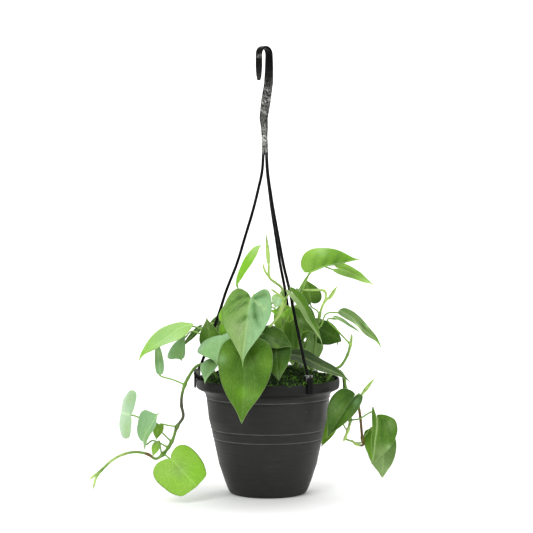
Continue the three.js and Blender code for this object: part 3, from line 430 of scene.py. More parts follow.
    "back_left_low": dict(vine="back_left", start=(-33, 43, 154), at=(-40, 68, 182), tip=(-52, 108, 118),
                          face=(-0.2, 0.9, 0.4), look="dark", shades=[("mature", 0.6, 0.1, 0.5, 0.6)]),
    "back_left_side": dict(vine="back_left", start=(-37, 47, 174), at=(-60, 46, 178), tip=(-74, 62, 152),
                           face=(-0.6, 0.2, 0.8), look="mature"),
    "back_left_small": dict(vine="back_left", start=(-43, 52, 204), at=(-32, 62, 222), tip=(-22, 88, 206),
                            face=(0.2, 0.6, 0.7), look="fresh"),
    "back_right_high": dict(vine="back_right", start=(50, 61, 181), at=(52, 70, 192), tip=(60, 110, 146),
                            face=(0.2, 0.9, 0.4), width=0.31, look="mature", shades=[("mint", 0.3, -0.2, 0.3, 0.6)]),
    "back_right_low": dict(vine="back_right", start=(38, 51, 148), at=(44, 76, 166), tip=(42, 113, 112),
                           face=(-0.1, 0.9, 0.4), look="dark", quilt=1.0),
    "back_right_side": dict(vine="back_right", start=(44, 56, 166), at=(68, 48, 186), tip=(84, 76, 160),
                            face=(0.7, 0.5, 0.6), look="mature"),
    "top_back": dict(vine="crown_top", start=(18, 18, 205), at=(2, 36, 216), tip=(-12, 72, 200),
                     face=(-0.2, 0.3, 0.9), look="fresh"),
}

# Half of a heart-shaped blade as (rib point, reach along, reach out) of its side veins.
HEART = [
    (0, -0.085, 0.15), (0, -0.115, 0.38), (0, -0.085, 0.68), (0, 0.02, 0.91), (0.1, 0.2, 1), (0.3, 0.42, 0.87),
    (0.54, 0.64, 0.55), (0.8, 0.85, 0.14), (0.92, 0.94, 0.04), (1, 1, 0),
]
HEART_WIDEST = 0.2

# A blade's form and look where its entry says nothing else. Sizes are shares of its length.
BLADE = dict(width=0.36, arch=0.06, fold=0.2, wave=0.015, taper=1.15, lobe=1, lean=0, skew=0, sweep=0, bend=0.35,
             quilt=0.6, veins=6, slant=0.32, paleness=0.5, rib=1.0, shades=[], folds=[])

# Looks: slot, palette name, then the surface's name, roughness, strength of the veins and sheen.
LOOKS = {
    "dark": ("leaf_dark", "deep", "dark_blade", 0.42, 0.3, 0.0),
    "mature": ("leaf_mature", "mature", "mature_blade", 0.4, 0.45, 0.0),
    "mint": ("leaf_mint", "mint", "grey_green_blade", 0.44, 0.4, 0.15),
    "fresh": ("leaf_fresh", "fresh", "fresh_blade", 0.42, 0.5, 0.0),
}

# Blade details. A side vein bows by the given shares along the blade. Reaches and depths are in mm.
VEIN_BOW = (0, 0.12, 0.4, 0.8, 1), (-0.09, -0.05, 0.09, 0.06, 0)
VEIN_WIDTH = 0.13
RIB_SOFTNESS = 0.018
HOLLOW_REACH = 1.5
HOLLOW_DEPTH = 0.45
RIDGE_UNDER_RIB = 0.45
RIPPLE = 0.008
DROOP_FROM = 0.86
STALK_POINTS = 26
STALK_SIDES = 10
LARGE_BLADE = 42
LARGE_GRID = (46, 15)
SMALL_GRID = (30, 9)
# Painted shade: a sunk fold's tint is multiplied by this, and vein hollows darken by this share times the quilt.
FOLD_SHADE_TINT = (0.3, 0.46, 0.24)
VEIN_SHADE = 0.16


# Curves and meshes.

def smooth_route(points, count, dense=14):
    """Points evenly spaced on the centripetal curve that the CAD routes follow."""
    p = [Vector(q) for q in points]
    p = [2 * p[0] - p[1]] + p + [2 * p[-1] - p[-2]]
    line = []
    for a, b, c, d in zip(p, p[1:], p[2:], p[3:]):
        ab, bc, cd = (math.sqrt((y - x).length) for x, y in ((a, b), (b, c), (c, d)))
        out = ((b - a) / ab - (c - a) / (ab + bc) + (c - b) / bc) * bc
        back = ((c - b) / bc - (d - b) / (bc + cd) + (d - c) / cd) * bc
        for k in range(dense):
            t = k / dense
            line.append(b + out * t + (3 * (c - b) - 2 * out - back) * t**2 + (2 * (b - c) + out + back) * t**3)
    line.append(p[-2])
    line = np.array([tuple(q) for q in line])
    run = np.concatenate([[0], np.cumsum(np.linalg.norm(np.diff(line, axis=0), axis=1))])
    at = np.linspace(0, run[-1], count)
    return np.stack([np.interp(at, run, line[:, k]) for k in range(3)], axis=1)


def ring_faces(rings, size):
    """The four-cornered faces between closed rings of corners, listed ring by ring."""
    faces = []
    for i in range(rings - 1):
        for k in range(size):
            a, b = i * size + k, i * size + (k + 1) % size
            faces.append((a, b, b + size, a + size))
    return faces


def end_faces(rings, size):
    """The faces that close the first and the last ring."""
    last = (rings - 1) * size
    return [tuple(reversed(range(size))), tuple(range(last, last + size))]


def hump(value, place, reach):
    """A smooth hump from 0 to 1 round a place."""
    return np.exp(-(((value - place) / reach) ** 2))


def tube(points, radii, sides):
    """A closed round skin along a line, as corners and faces."""
    points = np.asarray(points, float)
    tangents = np.gradient(points, axis=0)
    tangents /= np.linalg.norm(tangents, axis=1)[:, None]
    side = np.cross(tangents[0], (0, 0, 1) if abs(tangents[0][2]) < 0.9 else (1, 0, 0))
    corners = []
    turns = np.linspace(0, 2 * math.pi, sides, endpoint=False)
    for point, tangent, radius in zip(points, tangents, radii):
        side = side - tangent * side.dot(tangent)
        side /= np.linalg.norm(side)
        up = np.cross(tangent, side)
        corners += [point + radius * (math.cos(a) * side + math.sin(a) * up) for a in turns]
    return np.array(corners), ring_faces(len(points), sides) + end_faces(len(points), sides)


def rounded_outline(points, radius, steps=4):
    """A closed outline with its corners rounded."""
    rounded = []
    count = len(points)
    for k in range(count):
        here = np.array(points[k], float)
        before = np.array(points[k - 1], float) - here
        after = np.array(points[(k + 1) % count], float) - here
        reach = min(radius, 0.45 * np.linalg.norm(before), 0.45 * np.linalg.norm(after))
        start = here + before / np.linalg.norm(before) * reach
        end = here + after / np.linalg.norm(after) * reach
        for t in np.linspace(0, 1, steps):
            rounded.append((1 - t) ** 2 * start + 2 * t * (1 - t) * here + t**2 * end)
    return np.array(rounded)


class Skin:
    """Corners, faces, material numbers and attributes of one piece, gathered part by part."""

    def __init__(self):
        self.corners, self.faces, self.slots, self.layers, self.count = [], [], [], {}, 0

    def add(self, corners, faces, slot=0, **layers):
        """Takes in one part, with a value for each of its corners in every layer given."""
        corners = np.asarray(corners, float)
        for name, values in layers.items():
            values = np.asarray(values, float)
            self.layers.setdefault(name, []).append((self.count, values))
        self.faces += [tuple(int(c) + self.count for c in face) for face in faces]
        self.slots += [slot] * len(faces)
        self.corners.append(corners)
        self.count += len(corners)

    def piece(self, name, materials, merge=0.0):
        """The mesh object, with its faces turned outwards."""
        mesh = bpy.data.meshes.new(name)
        mesh.from_pydata((np.concatenate(self.corners) * MM).tolist(), [], self.faces)
        for material in materials:
            mesh.materials.append(material)
        mesh.polygons.foreach_set("material_index", self.slots)
        for layer, runs in self.layers.items():
            width = 1 if runs[0][1].ndim == 1 else runs[0][1].shape[1]
            kind, key = {1: ("FLOAT", "value"), 3: ("FLOAT_VECTOR", "vector"), 4: ("FLOAT_COLOR", "color")}[width]
            values = np.zeros((self.count, width))
            for start, run in runs:
                values[start:start + len(run)] = run.reshape(len(run), width)
            mesh.attributes.new(layer, kind, "POINT").data.foreach_set(key, values.ravel())
        clean_mesh(mesh, merge)
        mesh.polygons.foreach_set("use_smooth", [True] * len(mesh.polygons))
        piece = bpy.data.objects.new(name, mesh)
        bpy.context.scene.collection.objects.link(piece)
        return piece


def clean_mesh(mesh, merge):
    """Merges doubles where asked, drops empty faces and turns the faces outwards."""
    work = bmesh.new()
    work.from_mesh(mesh)
    if merge:
        bmesh.ops.remove_doubles(work, verts=work.verts, dist=merge * MM)
    bmesh.ops.dissolve_degenerate(work, edges=work.edges, dist=1e-7)
    bmesh.ops.recalc_face_normals(work, faces=work.faces)
    work.to_mesh(mesh)
    work.free()
    mesh.update()


def baked(piece):
    """A plain mesh object with the piece's modifiers in it. The first object is removed."""
    name = piece.name
    graph = bpy.context.evaluated_depsgraph_get()
    mesh = bpy.data.meshes.new_from_object(piece.evaluated_get(graph), preserve_all_data_layers=True, depsgraph=graph)
    old = piece.data
    bpy.data.objects.remove(piece)
    bpy.data.meshes.remove(old)
    mesh.name = name
    result = bpy.data.objects.new(name, mesh)
    bpy.context.scene.collection.objects.link(result)
    return result


def seat(piece, slot, *nodes):
    """Puts a finished piece on the frame in place of its CAD nodes."""
    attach(piece, "root")
    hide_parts(*nodes)


# Materials.

class Finish:
    """A material and short calls for the nodes that its surface is made from."""

    def __init__(self, name):
        self.material = bpy.data.materials.new(name)
        self.material.use_nodes = True
        self.nodes = self.material.node_tree.nodes
        self.links = self.material.node_tree.links
        self.shader = self.nodes["Principled BSDF"]
        self.place = self.nodes.new("ShaderNodeTexCoord").outputs["Object"]
        self.relief = None

    def put(self, socket, value):
        """Links a node's output to the socket, or sets the socket's own value."""
        if isinstance(value, bpy.types.NodeSocket):
            self.links.new(value, socket)
        elif socket.type == "RGBA" and len(value) == 3:
            socket.default_value = (*value, 1)
        else:
            socket.default_value = value

    def calc(self, operation, *values):
        """The result of one maths node."""
        node = self.nodes.new("ShaderNodeMath")
        node.operation = operation
        for socket, value in zip(node.inputs, values):
            self.put(socket, value)
        return node.outputs[0]

    def fade(self, value, low, high, start=0.0, end=1.0):
        """Goes smoothly from start to end as the value goes from low to high."""
        node = self.nodes.new("ShaderNodeMapRange")
        node.interpolation_type = "SMOOTHSTEP"
        for key, number in (("From Min", low), ("From Max", high), ("To Min", start), ("To Max", end)):
            node.inputs[key].default_value = number
        self.put(node.inputs["Value"], value)
        return node.outputs["Result"]

    def noise(self, scale, detail=3.0, roughness=0.55, stretch=None):
        """Cloudy noise at the object's own scale, stretched along its axes where asked."""
        node = self.nodes.new("ShaderNodeTexNoise")
        node.inputs["Scale"].default_value = scale
        node.inputs["Detail"].default_value = detail
        node.inputs["Roughness"].default_value = roughness
        self.put(node.inputs["Vector"], self.stretched(stretch) if stretch else self.place)
        return node.outputs["Fac"]

    def stretched(self, scale):
        """The object's coordinates times a scale for each axis."""
        node = self.nodes.new("ShaderNodeMapping")
        node.inputs["Scale"].default_value = scale
        self.put(node.inputs["Vector"], self.place)
        return node.outputs["Vector"]

    def cells(self, scale, feature="F1"):
        """Distances in a pattern of cells."""
        node = self.nodes.new("ShaderNodeTexVoronoi")
        node.feature = feature
        node.inputs["Scale"].default_value = scale
        self.put(node.inputs["Vector"], self.place)
        return node.outputs["Distance"]

    def layer(self, name, output="Fac"):
        """A value that the mesh carries for each corner."""
        node = self.nodes.new("ShaderNodeAttribute")
        node.attribute_name = name
        return node.outputs[output]

    def parts(self, vector):
        """The three outputs of a split vector."""
        node = self.nodes.new("ShaderNodeSeparateXYZ")
        self.put(node.inputs[0], vector)
        return node.outputs

    def mix(self, factor, first, second, blend="MIX"):
        """Two colours mixed by a factor. The node's sockets for colours have the numbers 6, 7 and 2."""
        node = self.nodes.new("ShaderNodeMix")
        node.data_type = "RGBA"
        node.blend_type = blend
        self.put(node.inputs[0], factor)
        self.put(node.inputs[6], first)
        self.put(node.inputs[7], second)
        return node.outputs[2]

    def scaled(self, colour, factor):
        """A colour times a grey factor."""
        return self.mix(1.0, colour, (factor, factor, factor), "MULTIPLY")

    def bump(self, height, strength, depth):
        """Adds one layer of relief, depth in mm."""
        node = self.nodes.new("ShaderNodeBump")
        node.inputs["Strength"].default_value = strength
        node.inputs["Distance"].default_value = depth * MM
        self.put(node.inputs["Height"], height)
        if self.relief:
            self.put(node.inputs["Normal"], self.relief)
        self.relief = node.outputs["Normal"]

    def done(self, colour, roughness, specular=0.5, **fixed):
        """Puts colour, roughness and relief on the shader and returns the material."""
        self.put(self.shader.inputs["Base Color"], colour)
        self.shader.inputs["Specular IOR Level"].default_value = specular
        self.put(self.shader.inputs["Roughness"], roughness)
        if self.relief:
            self.put(self.shader.inputs["Normal"], self.relief)
        for name, value in fixed.items():
            self.shader.inputs[name.replace("_", " ").title()].default_value = value
        return self.material


def pot_plastic(sizes):
    """Charcoal moulded plastic: faint flow marks, a few pale specks, a soft sheen, painted highlights on the ridges.
    """
    finish = Finish("charcoal_moulded_plastic")
    cloud = finish.noise(28, 4)
    flow = finish.noise(60, 3, stretch=(1, 1, 6))
    near_ridge = finish.fade(finish.layer("line"), 0.15, 0.9)
    grain = finish.noise(2600, 2)
    specks = finish.fade(finish.cells(130), 0.05, 0.09, 0.5, 0)
    rare = finish.fade(finish.noise(45, 1), 0.6, 0.68)
    colour = finish.mix(cloud, tuple(0.78 * c for c in sizes.colour), tuple(1.3 * c for c in sizes.colour))
    height = finish.parts(finish.place)[2]
    rim = finish.fade(height, 0.112, 0.122)
    colour = finish.mix(finish.calc("MULTIPLY", finish.fade(flow, 0.45, 0.75), 0.2), colour, (0.035, 0.035, 0.033))
    colour = finish.mix(rim, colour, finish.scaled(colour, 0.35))
    # Painted highlight: the moulded ridges are lightened where they would catch the top light.
    ridge_highlight = finish.calc("MULTIPLY", near_ridge, finish.fade(flow, 0.3, 0.6, 0.25, 0.6))
    colour = finish.mix(ridge_highlight, colour, sizes.ridge_highlight_colour)
    colour = finish.mix(finish.calc("MULTIPLY", specks, rare), colour, (0.2, 0.2, 0.19))
    finish.bump(grain, 0.25, 0.08)
    finish.bump(flow, 0.12, 0.12)
    gloss = finish.fade(cloud, 0.3, 0.7, sizes.gloss - 0.06, sizes.gloss + 0.1)
    return finish.done(colour, gloss, specular=0.16)


def hanger_plastic(sizes):
    """Black flexible plastic, glossy, gone pale where bent, with painted highlights on creases, strap, hook and
    snaps.
    """
    finish = Finish("black_flexible_plastic")
    stress = finish.layer("stress")
    mottle = finish.noise(420, 4, 0.65)
    streak = finish.noise(160, 3, stretch=(1, 1, 0.35))
    cloud = finish.noise(70, 3)
    # The pale colour is partly where bending whitened the plastic and partly painted highlight.
    pale = finish.calc("MULTIPLY", stress, finish.fade(mottle, 0.36, 0.62))
    colour = finish.mix(cloud, tuple(0.7 * c for c in sizes.colour), tuple(1.6 * c for c in sizes.colour))
    colour = finish.mix(pale, colour, sizes.stress_and_highlight_colour)
    finish.bump(mottle, 0.35, 0.12)
    finish.bump(streak, 0.25, 0.2)
    gloss = finish.fade(streak, 0.35, 0.7, 0.26, 0.45)
    return finish.done(colour, gloss, specular=0.06)


def soil_crumb(sizes):
    """Growing mix: dark crumbs with pale fibres."""
    finish = Finish("crumbly_growing_mix")
    crumb = finish.cells(260)
    fine = finish.noise(900, 5, 0.7)
    fibre = finish.fade(finish.noise(300, 2, stretch=(1, 0.15, 0.4)), 0.62, 0.7)
    colour = finish.mix(fine, (0.012, 0.007, 0.004), sizes.soil_colour)
    colour = finish.mix(finish.calc("MULTIPLY", fibre, 0.6), colour, (0.12, 0.08, 0.045))
    finish.bump(crumb, 0.8, 1.4)
    finish.bump(fine, 0.5, 0.4)
    return finish.done(colour, finish.fade(fine, 0.3, 0.7, 0.85, 1.0))


def moss_threads(sizes):
    """Moss: nearly black on the mound between the threads, a painted shade, and bright on the youngest ones."""
    finish = Finish("curly_moss")
    thread = finish.layer("thread")
    patch = finish.fade(finish.noise(60, 3), 0.35, 0.65)
    fine = finish.noise(1200, 3)
    colour = finish.mix(finish.fade(thread, 0.25, 1.0), sizes.deep_and_shade_colour, sizes.bright_colour)
    colour = finish.mix(finish.calc("MULTIPLY", patch, 0.4), colour, sizes.deep_and_shade_colour)
    colour = finish.mix(finish.calc("MULTIPLY", fine, 0.15), colour, tuple(0.6 * c for c in sizes.bright_colour))
    finish.bump(fine, 0.4, 0.25)
    return finish.done(colour, finish.fade(fine, 0.3, 0.7, 0.6, 0.9), specular=0.2)


def stem_skin(sizes):
    """Waxy stem: green, corky or brown where old and pale where young, with fine length lines and pores."""
    finish = Finish("waxy_stem")
    uneven = finish.fade(finish.noise(160, 3), 0.3, 0.7, -0.15, 0.15)
    brown, corky, young = (finish.calc("ADD", finish.layer(key), uneven) for key in ("brown", "corky", "pale"))
    patch = finish.noise(90, 4)
    pores = finish.fade(finish.cells(900), 0.1, 0.2, 0.35, 0)
    lines = finish.noise(700, 2, stretch=(1, 1, 0.12))
    colour = finish.mix(patch, tuple(0.7 * c for c in sizes.colour), tuple(1.35 * c for c in sizes.colour))
    colour = finish.mix(finish.fade(young, 0.15, 0.85), colour, sizes.pale_colour)
    colour = finish.mix(finish.fade(corky, 0.15, 0.85), colour, sizes.cork_colour)
    colour = finish.mix(finish.fade(brown, 0.15, 0.85), colour, sizes.brown_colour)
    colour = finish.mix(pores, colour, finish.scaled(colour, 1.7))
    finish.bump(lines, 0.3, 0.15)
    return finish.done(colour, finish.fade(patch, 0.3, 0.7, 0.42, 0.58), specular=0.3)


def petiole_skin():
    """Leaf stalk: lighter and smoother than the stem."""
    finish = Finish("leaf_stalk")
    patch = finish.noise(120, 3)
    lines = finish.noise(900, 2, stretch=(1, 1, 0.15))
    tint = finish.layer("tint", "Color")
    colour = finish.mix(patch, finish.scaled(tint, 0.75), finish.scaled(tint, 1.25))
    finish.bump(lines, 0.25, 0.12)
    return finish.done(colour, finish.fade(patch, 0.3, 0.7, 0.36, 0.5), specular=0.3)


def leaf_surface(sizes, name, roughness, vein_strength, sheen):
    """Blade: own shade from its tint, pale ribs and margin, a fine net of veins, and a paler lower side.

    The tint's alpha says how pale the ribs of a blade are.
    """
    finish = Finish(name)
    along, share, below = finish.parts(finish.layer("blade", "Vector"))
    across, edge, ribs = finish.parts(finish.layer("reach", "Vector"))
    tint = finish.layer("tint", "Color")
    paleness = finish.layer("tint", "Alpha")
    cloud = finish.noise(32, 4)
    blotch = finish.noise(110, 4, 0.6)
    grain = finish.noise(1500, 2)
    speckle = finish.noise(430, 3, 0.7)
    net = finish.cells(620, "DISTANCE_TO_EDGE")
    out = finish.calc("ABSOLUTE", share)
    off_rib = finish.calc("ABSOLUTE", across)
    midrib = finish.fade(off_rib, 0.15, 0.7, 1, 0)
    rib_band = finish.fade(off_rib, 0.3, 2.6, 1, 0)
    wander = finish.fade(blotch, 0.2, 0.8, -0.012, 0.012)
    turn = finish.calc("MULTIPLY", finish.calc("ADD", along, wander), ribs)
    gap = finish.calc("PINGPONG", turn, 0.5)
    inner = finish.fade(out, 0.45, 0.95, 1, 0.1)
    lateral = finish.calc("MULTIPLY", finish.fade(gap, 0.0, 0.09, 1, 0), inner)
    fine = finish.calc("PINGPONG", finish.calc("MULTIPLY", turn, 4.0), 0.5)
    fine = finish.calc("MULTIPLY", finish.fade(fine, 0.0, 0.3, 1, 0), 0.18)
    lateral = finish.calc("MULTIPLY", lateral, finish.fade(paleness, 0.0, 0.5, 0.25, 1.0))
    mesh_lines = finish.fade(net, 0.0, 0.07, 0.2, 0)
    margin = finish.fade(edge, 0.12, 0.7, 1, 0)
    light = finish.mix(0.16, finish.scaled(tint, 1.45), sizes.rib_colour)
    shade = finish.mix(1.0, tint, (0.72, 0.82, 0.66), "MULTIPLY")
    colour = finish.mix(finish.fade(cloud, 0.3, 0.7, 0.0, 0.55), tint, shade)
    colour = finish.mix(finish.fade(blotch, 0.45, 0.75, 0.0, 0.2), colour, light)
    colour = finish.mix(finish.fade(speckle, 0.52, 0.68, 0.0, 0.3), colour, light)
    colour = finish.mix(finish.fade(speckle, 0.34, 0.48, 0.5, 0.0), colour, shade)
    for lines in (mesh_lines, fine, lateral):
        colour = finish.mix(finish.calc("MULTIPLY", lines, vein_strength), colour, light)
    rib = finish.mix(0.5, finish.scaled(tint, 2.0), sizes.rib_colour)
    for lines, strength in ((rib_band, 0.4), (midrib, 0.6)):
        colour = finish.mix(finish.calc("MULTIPLY", finish.calc("MULTIPLY", lines, strength), paleness), colour, rib)
    colour = finish.mix(finish.calc("MULTIPLY", margin, 0.5), colour, sizes.rib_colour)
    pale = finish.mix(0.5, colour, sizes.under_colour)
    colour = finish.mix(finish.fade(below, 0.4, 0.6), colour, pale)
    grooves = finish.calc("ADD", finish.calc("MULTIPLY", lateral, -1.0), finish.calc("MULTIPLY", fine, -0.5))
    finish.bump(grooves, 0.35, 0.25)
    finish.bump(net, 0.2, 0.15)
    finish.bump(blotch, 0.2, 0.4)
    finish.bump(grain, 0.15, 0.05)
    wax = finish.calc("ADD", cloud, finish.calc("MULTIPLY", below, 0.5))
    rough = finish.fade(wax, 0.3, 1.1, roughness, roughness + 0.2)
    return finish.done(colour, rough, specular=0.13, sheen_weight=sheen)


# Sizes and colours that a user may change.

def colour_property(name, description, default):
    """A colour that the panel shows."""
    return bpy.props.FloatVectorProperty(name=name, description=description, subtype="COLOR", size=3, min=0, max=1,
                                         default=default)


def length_property(name, description, default):
    """A length that the panel shows, in metres."""
    return bpy.props.FloatProperty(name=name, description=description, subtype="DISTANCE", unit="LENGTH", min=0,
                                   precision=5, default=default)


class PotSizes(bpy.types.PropertyGroup):
    """Sizes and finish of the pot."""
    rim_radius: length_property("Rim radius", "Outside radius of the rim band", 0.0825)
    ridge_depth: length_property("Ridge depth", "Depth of the moulded lines round the wall", 0.0006)
    ring_depth: length_property("Ring depth", "Depth of the fine rings on the lower wall", 0.00016)
    ring_spacing: length_property("Ring spacing", "Height from one fine ring to the next", 0.0045)
    segments: bpy.props.IntProperty(name="Segments", description="Facets round the pot", min=32, default=144)
    colour: colour_property("Plastic colour", "Base colour of the pot", (0.016, 0.016, 0.0145))
    # The line colour is a painted highlight along the moulded ridges.
    ridge_highlight_colour: colour_property("Line colour", "Colour of the highlit ridges round the wall", (0.12, 0.12, 0.115))
    gloss: bpy.props.FloatProperty(name="Roughness", description="Roughness of the wall", subtype="FACTOR", min=0,
                                   max=1, default=0.44)


class HangerSizes(bpy.types.PropertyGroup):
    """Sizes and finish of the hanger."""
    strand_radius: length_property("Strand radius", "Radius of a strand", 0.00175)
    strap_thickness: length_property("Strap thickness", "Thickness of the strap and hook", 0.0026)
    crease_depth: length_property("Crease depth", "Depth of the creases in the strap", 0.0007)
    colour: colour_property("Plastic colour", "Base colour of the hanger", (0.003, 0.003, 0.003))
    # This colour also paints the highlights on the creases, strap, hook band and snaps.
    stress_and_highlight_colour: colour_property("Bent colour", "Colour of the plastic where it was bent", (0.56, 0.57, 0.54))


class MossSizes(bpy.types.PropertyGroup):
    """Sizes and colours of the moss and soil."""
    thread_radius: length_property("Thread radius", "Radius of a moss thread", 0.0004)
    curl_radius: length_property("Curl radius", "Radius of a thread's curl", 0.0029)
    curl_height: length_property("Curl height", "How far a thread climbs", 0.0042)
    density: bpy.props.FloatProperty(name="Density", description="Threads on a square metre", min=0, default=95000)
    # The deep colour darkens the older threads and paints the shade on the mound between them.
    deep_and_shade_colour: colour_property("Deep colour", "Colour between the threads", (0.003, 0.008, 0.0015))
    bright_colour: colour_property("Bright colour", "Colour of the youngest threads", (0.10, 0.26, 0.018))
    soil_colour: colour_property("Soil colour", "Colour of the growing mix", (0.035, 0.021, 0.012))


class StemSizes(bpy.types.PropertyGroup):
    """Sizes and colours of the stems."""
    radius: length_property("Stem radius", "Radius between two nodes", 0.00155)
    swelling: bpy.props.FloatProperty(name="Swelling", description="How much thicker a stem is where leaves grow",
                                      subtype="FACTOR", min=0, max=1, default=0.42)
    sides: bpy.props.IntProperty(name="Sides", description="Facets round a stem", min=5, default=12)
    colour: colour_property("Green", "Colour of a grown stem", (0.12, 0.235, 0.035))
    pale_colour: colour_property("Pale green", "Colour of a young stem", (0.42, 0.61, 0.16))
    cork_colour: colour_property("Cork", "Colour of an old stem", (0.055, 0.062, 0.03))
    brown_colour: colour_property("Brown", "Colour of a bruised stem", (0.13, 0.068, 0.014))


class LeafSizes(bpy.types.PropertyGroup):
    """Sizes and colours of the leaves."""
    petiole_radius: length_property("Stalk radius", "Radius of a leaf stalk", 0.00095)
    thickness: length_property("Blade thickness", "Thickness of a blade at its middle", 0.0006)
    vein_depth: length_property("Vein depth", "Depth of the side veins", 0.0005)
    shadow: colour_property("Shadow green", "Darkest blades", (0.009, 0.028, 0.002))
    deep: colour_property("Dark green", "Shaded and old blades", (0.026, 0.078, 0.004))
    mature: colour_property("Mature green", "Grown blades", (0.058, 0.145, 0.006))
    # Grey-green is painted sheen: the pale sky reflected on a blade, laid into its colour.
    mint: colour_property("Grey-green", "Blades with a pale reflection", (0.215, 0.390, 0.185))
    fresh: colour_property("Fresh green", "Young blades", (0.230, 0.425, 0.052))
    lime: colour_property("Lime", "Most vivid parts of young blades", (0.190, 0.450, 0.015))
    leafy: colour_property("Leaf green", "Greener half of a blade", (0.150, 0.285, 0.055))
    olive: colour_property("Olive", "Dull half of a blade", (0.225, 0.325, 0.130))
    pale: colour_property("Pale green", "Lightest streaks", (0.430, 0.640, 0.270))
    frost: colour_property("Frost", "Blades lit through", (0.600, 0.800, 0.560))
    rib_colour: colour_property("Rib", "Ribs and margins", (0.430, 0.570, 0.240))
    under_colour: colour_property("Lower side", "Lower side of a blade", (0.260, 0.430, 0.120))
    stalk_colour: colour_property("Stalk", "Leaf stalks", (0.190, 0.360, 0.050))


# Pot.

def wall_radius(height, sizes):
    """Outside radius of the pot's wall in mm, with its moulded ridges and fine rings."""
    heights = [z for _, z in POT_WALL_LINE]
    radius = np.interp(height, heights, [r for r, _ in POT_WALL_LINE])
    depth = sizes.ridge_depth / MM
    for ridge in POT_RIDGES:
        radius += RIDGE_RISE * depth * hump(height, ridge, RIDGE_REACH)
        radius -= depth * hump(height, ridge - GROOVE_BELOW_RIDGE, GROOVE_REACH)
    if RING_SPAN[0] < height < RING_SPAN[1]:
        wave = math.cos(2 * math.pi * height / (sizes.ring_spacing / MM))
        radius += sizes.ring_depth / MM * (max(0.0, wave) ** 6 - 0.2)
    return radius


def ridge_nearness(corners):
    """How close each corner of the outer wall is to a moulded ridge, from 0 to 1."""
    spots = np.array(corners)
    radii, heights = np.hypot(spots[:, 0], spots[:, 1]), spots[:, 2]
    outer = radii > np.interp(heights, [z for _, z in POT_WALL_LINE], [r for r, _ in POT_WALL_LINE]) - 1.2
    return outer * sum(hump(heights, ridge, RIDGE_REACH) for ridge in POT_RIDGES)


def pot_profile(sizes):
    """The closed outline of the wall from the base round the rim and down to the floor."""
    scale = sizes.rim_radius / MM / POT_RIM_RADIUS
    wall = [(wall_radius(z, sizes), z) for z in np.arange(*POT_WALL_SPAN, POT_WALL_STEP)]
    return [(r * scale, z) for r, z in POT_FOOT_LINE + wall + POT_LIP_LINE + POT_INSIDE_LINE]


def lathe(profile, segments):
    """Turns an outline round the upright axis. The outline's two ends are closed with a fan."""
    turns = np.linspace(0, 2 * math.pi, segments, endpoint=False)
    corners = [(r * math.cos(a), r * math.sin(a), z) for r, z in profile for a in turns]
    faces = ring_faces(len(profile), segments)
    for ring, z in ((0, profile[0][1]), (len(profile) - 1, profile[-1][1])):
        corners.append((0, 0, z))
        centre = len(corners) - 1
        faces += [(ring * segments + k, ring * segments + (k + 1) % segments, centre) for k in range(segments)]
    return corners, faces


class PHILODENDRON_OT_pot(bpy.types.Operator):
    """Turns the pot with its grooves, rings, rim and drain holes"""
    bl_idname = "philodendron.pot"
    bl_label = "Pot"

    def execute(self, context):
        sizes = context.scene.pot_sizes
        skin = Skin()
        corners, faces = lathe(pot_profile(sizes), sizes.segments)
        skin.add(corners, faces, line=ridge_nearness(corners))
        pot = skin.piece("moulded_pot", [pot_plastic(sizes)])
        cutters = Skin()
        for k in range(DRAIN_COUNT):
            turn = 2 * math.pi * k / DRAIN_COUNT
            spot = np.array((DRAIN_CIRCLE * math.cos(turn), DRAIN_CIRCLE * math.sin(turn), 0))
            cutters.add(*tube([spot - (0, 0, 4), spot, spot + (0, 0, 4)], DRAIN_RADII, 20))
        cutter = cutters.piece("drain_cutter", [])
        hole = pot.modifiers.new("drains", "BOOLEAN")
        hole.operation = "DIFFERENCE"
        hole.solver = "EXACT"
        hole.object = cutter
        pot = baked(pot)
        bpy.data.objects.remove(cutter)
        pot.data.polygons.foreach_set("use_smooth", [True] * len(pot.data.polygons))
        seat(pot, "pot_plastic", "pot")
        return {"FINISHED"}


# Hanger.

def band_stations():
    """Centre, direction across, direction outwards and width, from the strap's foot to the hook's end."""
    plain = Vector((1, 0, 0))
    hook_across = Vector((-HOOK_TURN.y, HOOK_TURN.x, 0))
    line = np.array(STRAP_LINE, float)
    foot, (x, top, top_width) = STRAP_LINE[0][1], STRAP_LINE[-1]
    arc = HOOK_HEIGHT - HOOK_RADIUS - HOOK_INSET
    centre = Vector((x, 0, arc)) + HOOK_TURN * HOOK_RADIUS
    stations = []
    for z in np.arange(foot, top, STRAP_STEP):
        aside, width = np.interp(z, line[:, 1], line[:, 0]), np.interp(z, line[:, 1], line[:, 2])
        across = plain.lerp(hook_across, (z - foot) / (top - foot)).normalized()
        stations.append((Vector((aside, 0, z)), across, Vector((-across.y, across.x, 0)), width))
    for z in np.linspace(top, arc, 8)[:-1]:
        width = np.interp(z, (top, arc), (top_width, HOOK_BAND[0]))
        stations.append((Vector((x, 0, z)), hook_across, Vector((-hook_across.y, hook_across.x, 0)), width))
    for share in np.linspace(0, 1, 28):
        turn = math.pi * share
        outward = HOOK_TURN * -math.cos(turn) + Vector((0, 0, math.sin(turn)))
        width = HOOK_BAND[0] + (HOOK_BAND[1] - HOOK_BAND[0]) * share
        stations.append((centre + outward * HOOK_RADIUS, hook_across, outward, width))
    tail = [(arc, HOOK_BAND[1])] + HOOK_TAIL
    for z in np.linspace(arc, HOOK_TAIL[-1][0], 20)[1:]:
        width = np.interp(-z, [-t[0] for t in tail], [t[1] for t in tail])
        stations.append((Vector((x, 0, z)) + HOOK_TURN * 2 * HOOK_RADIUS, hook_across, HOOK_TURN, width))
    return stations


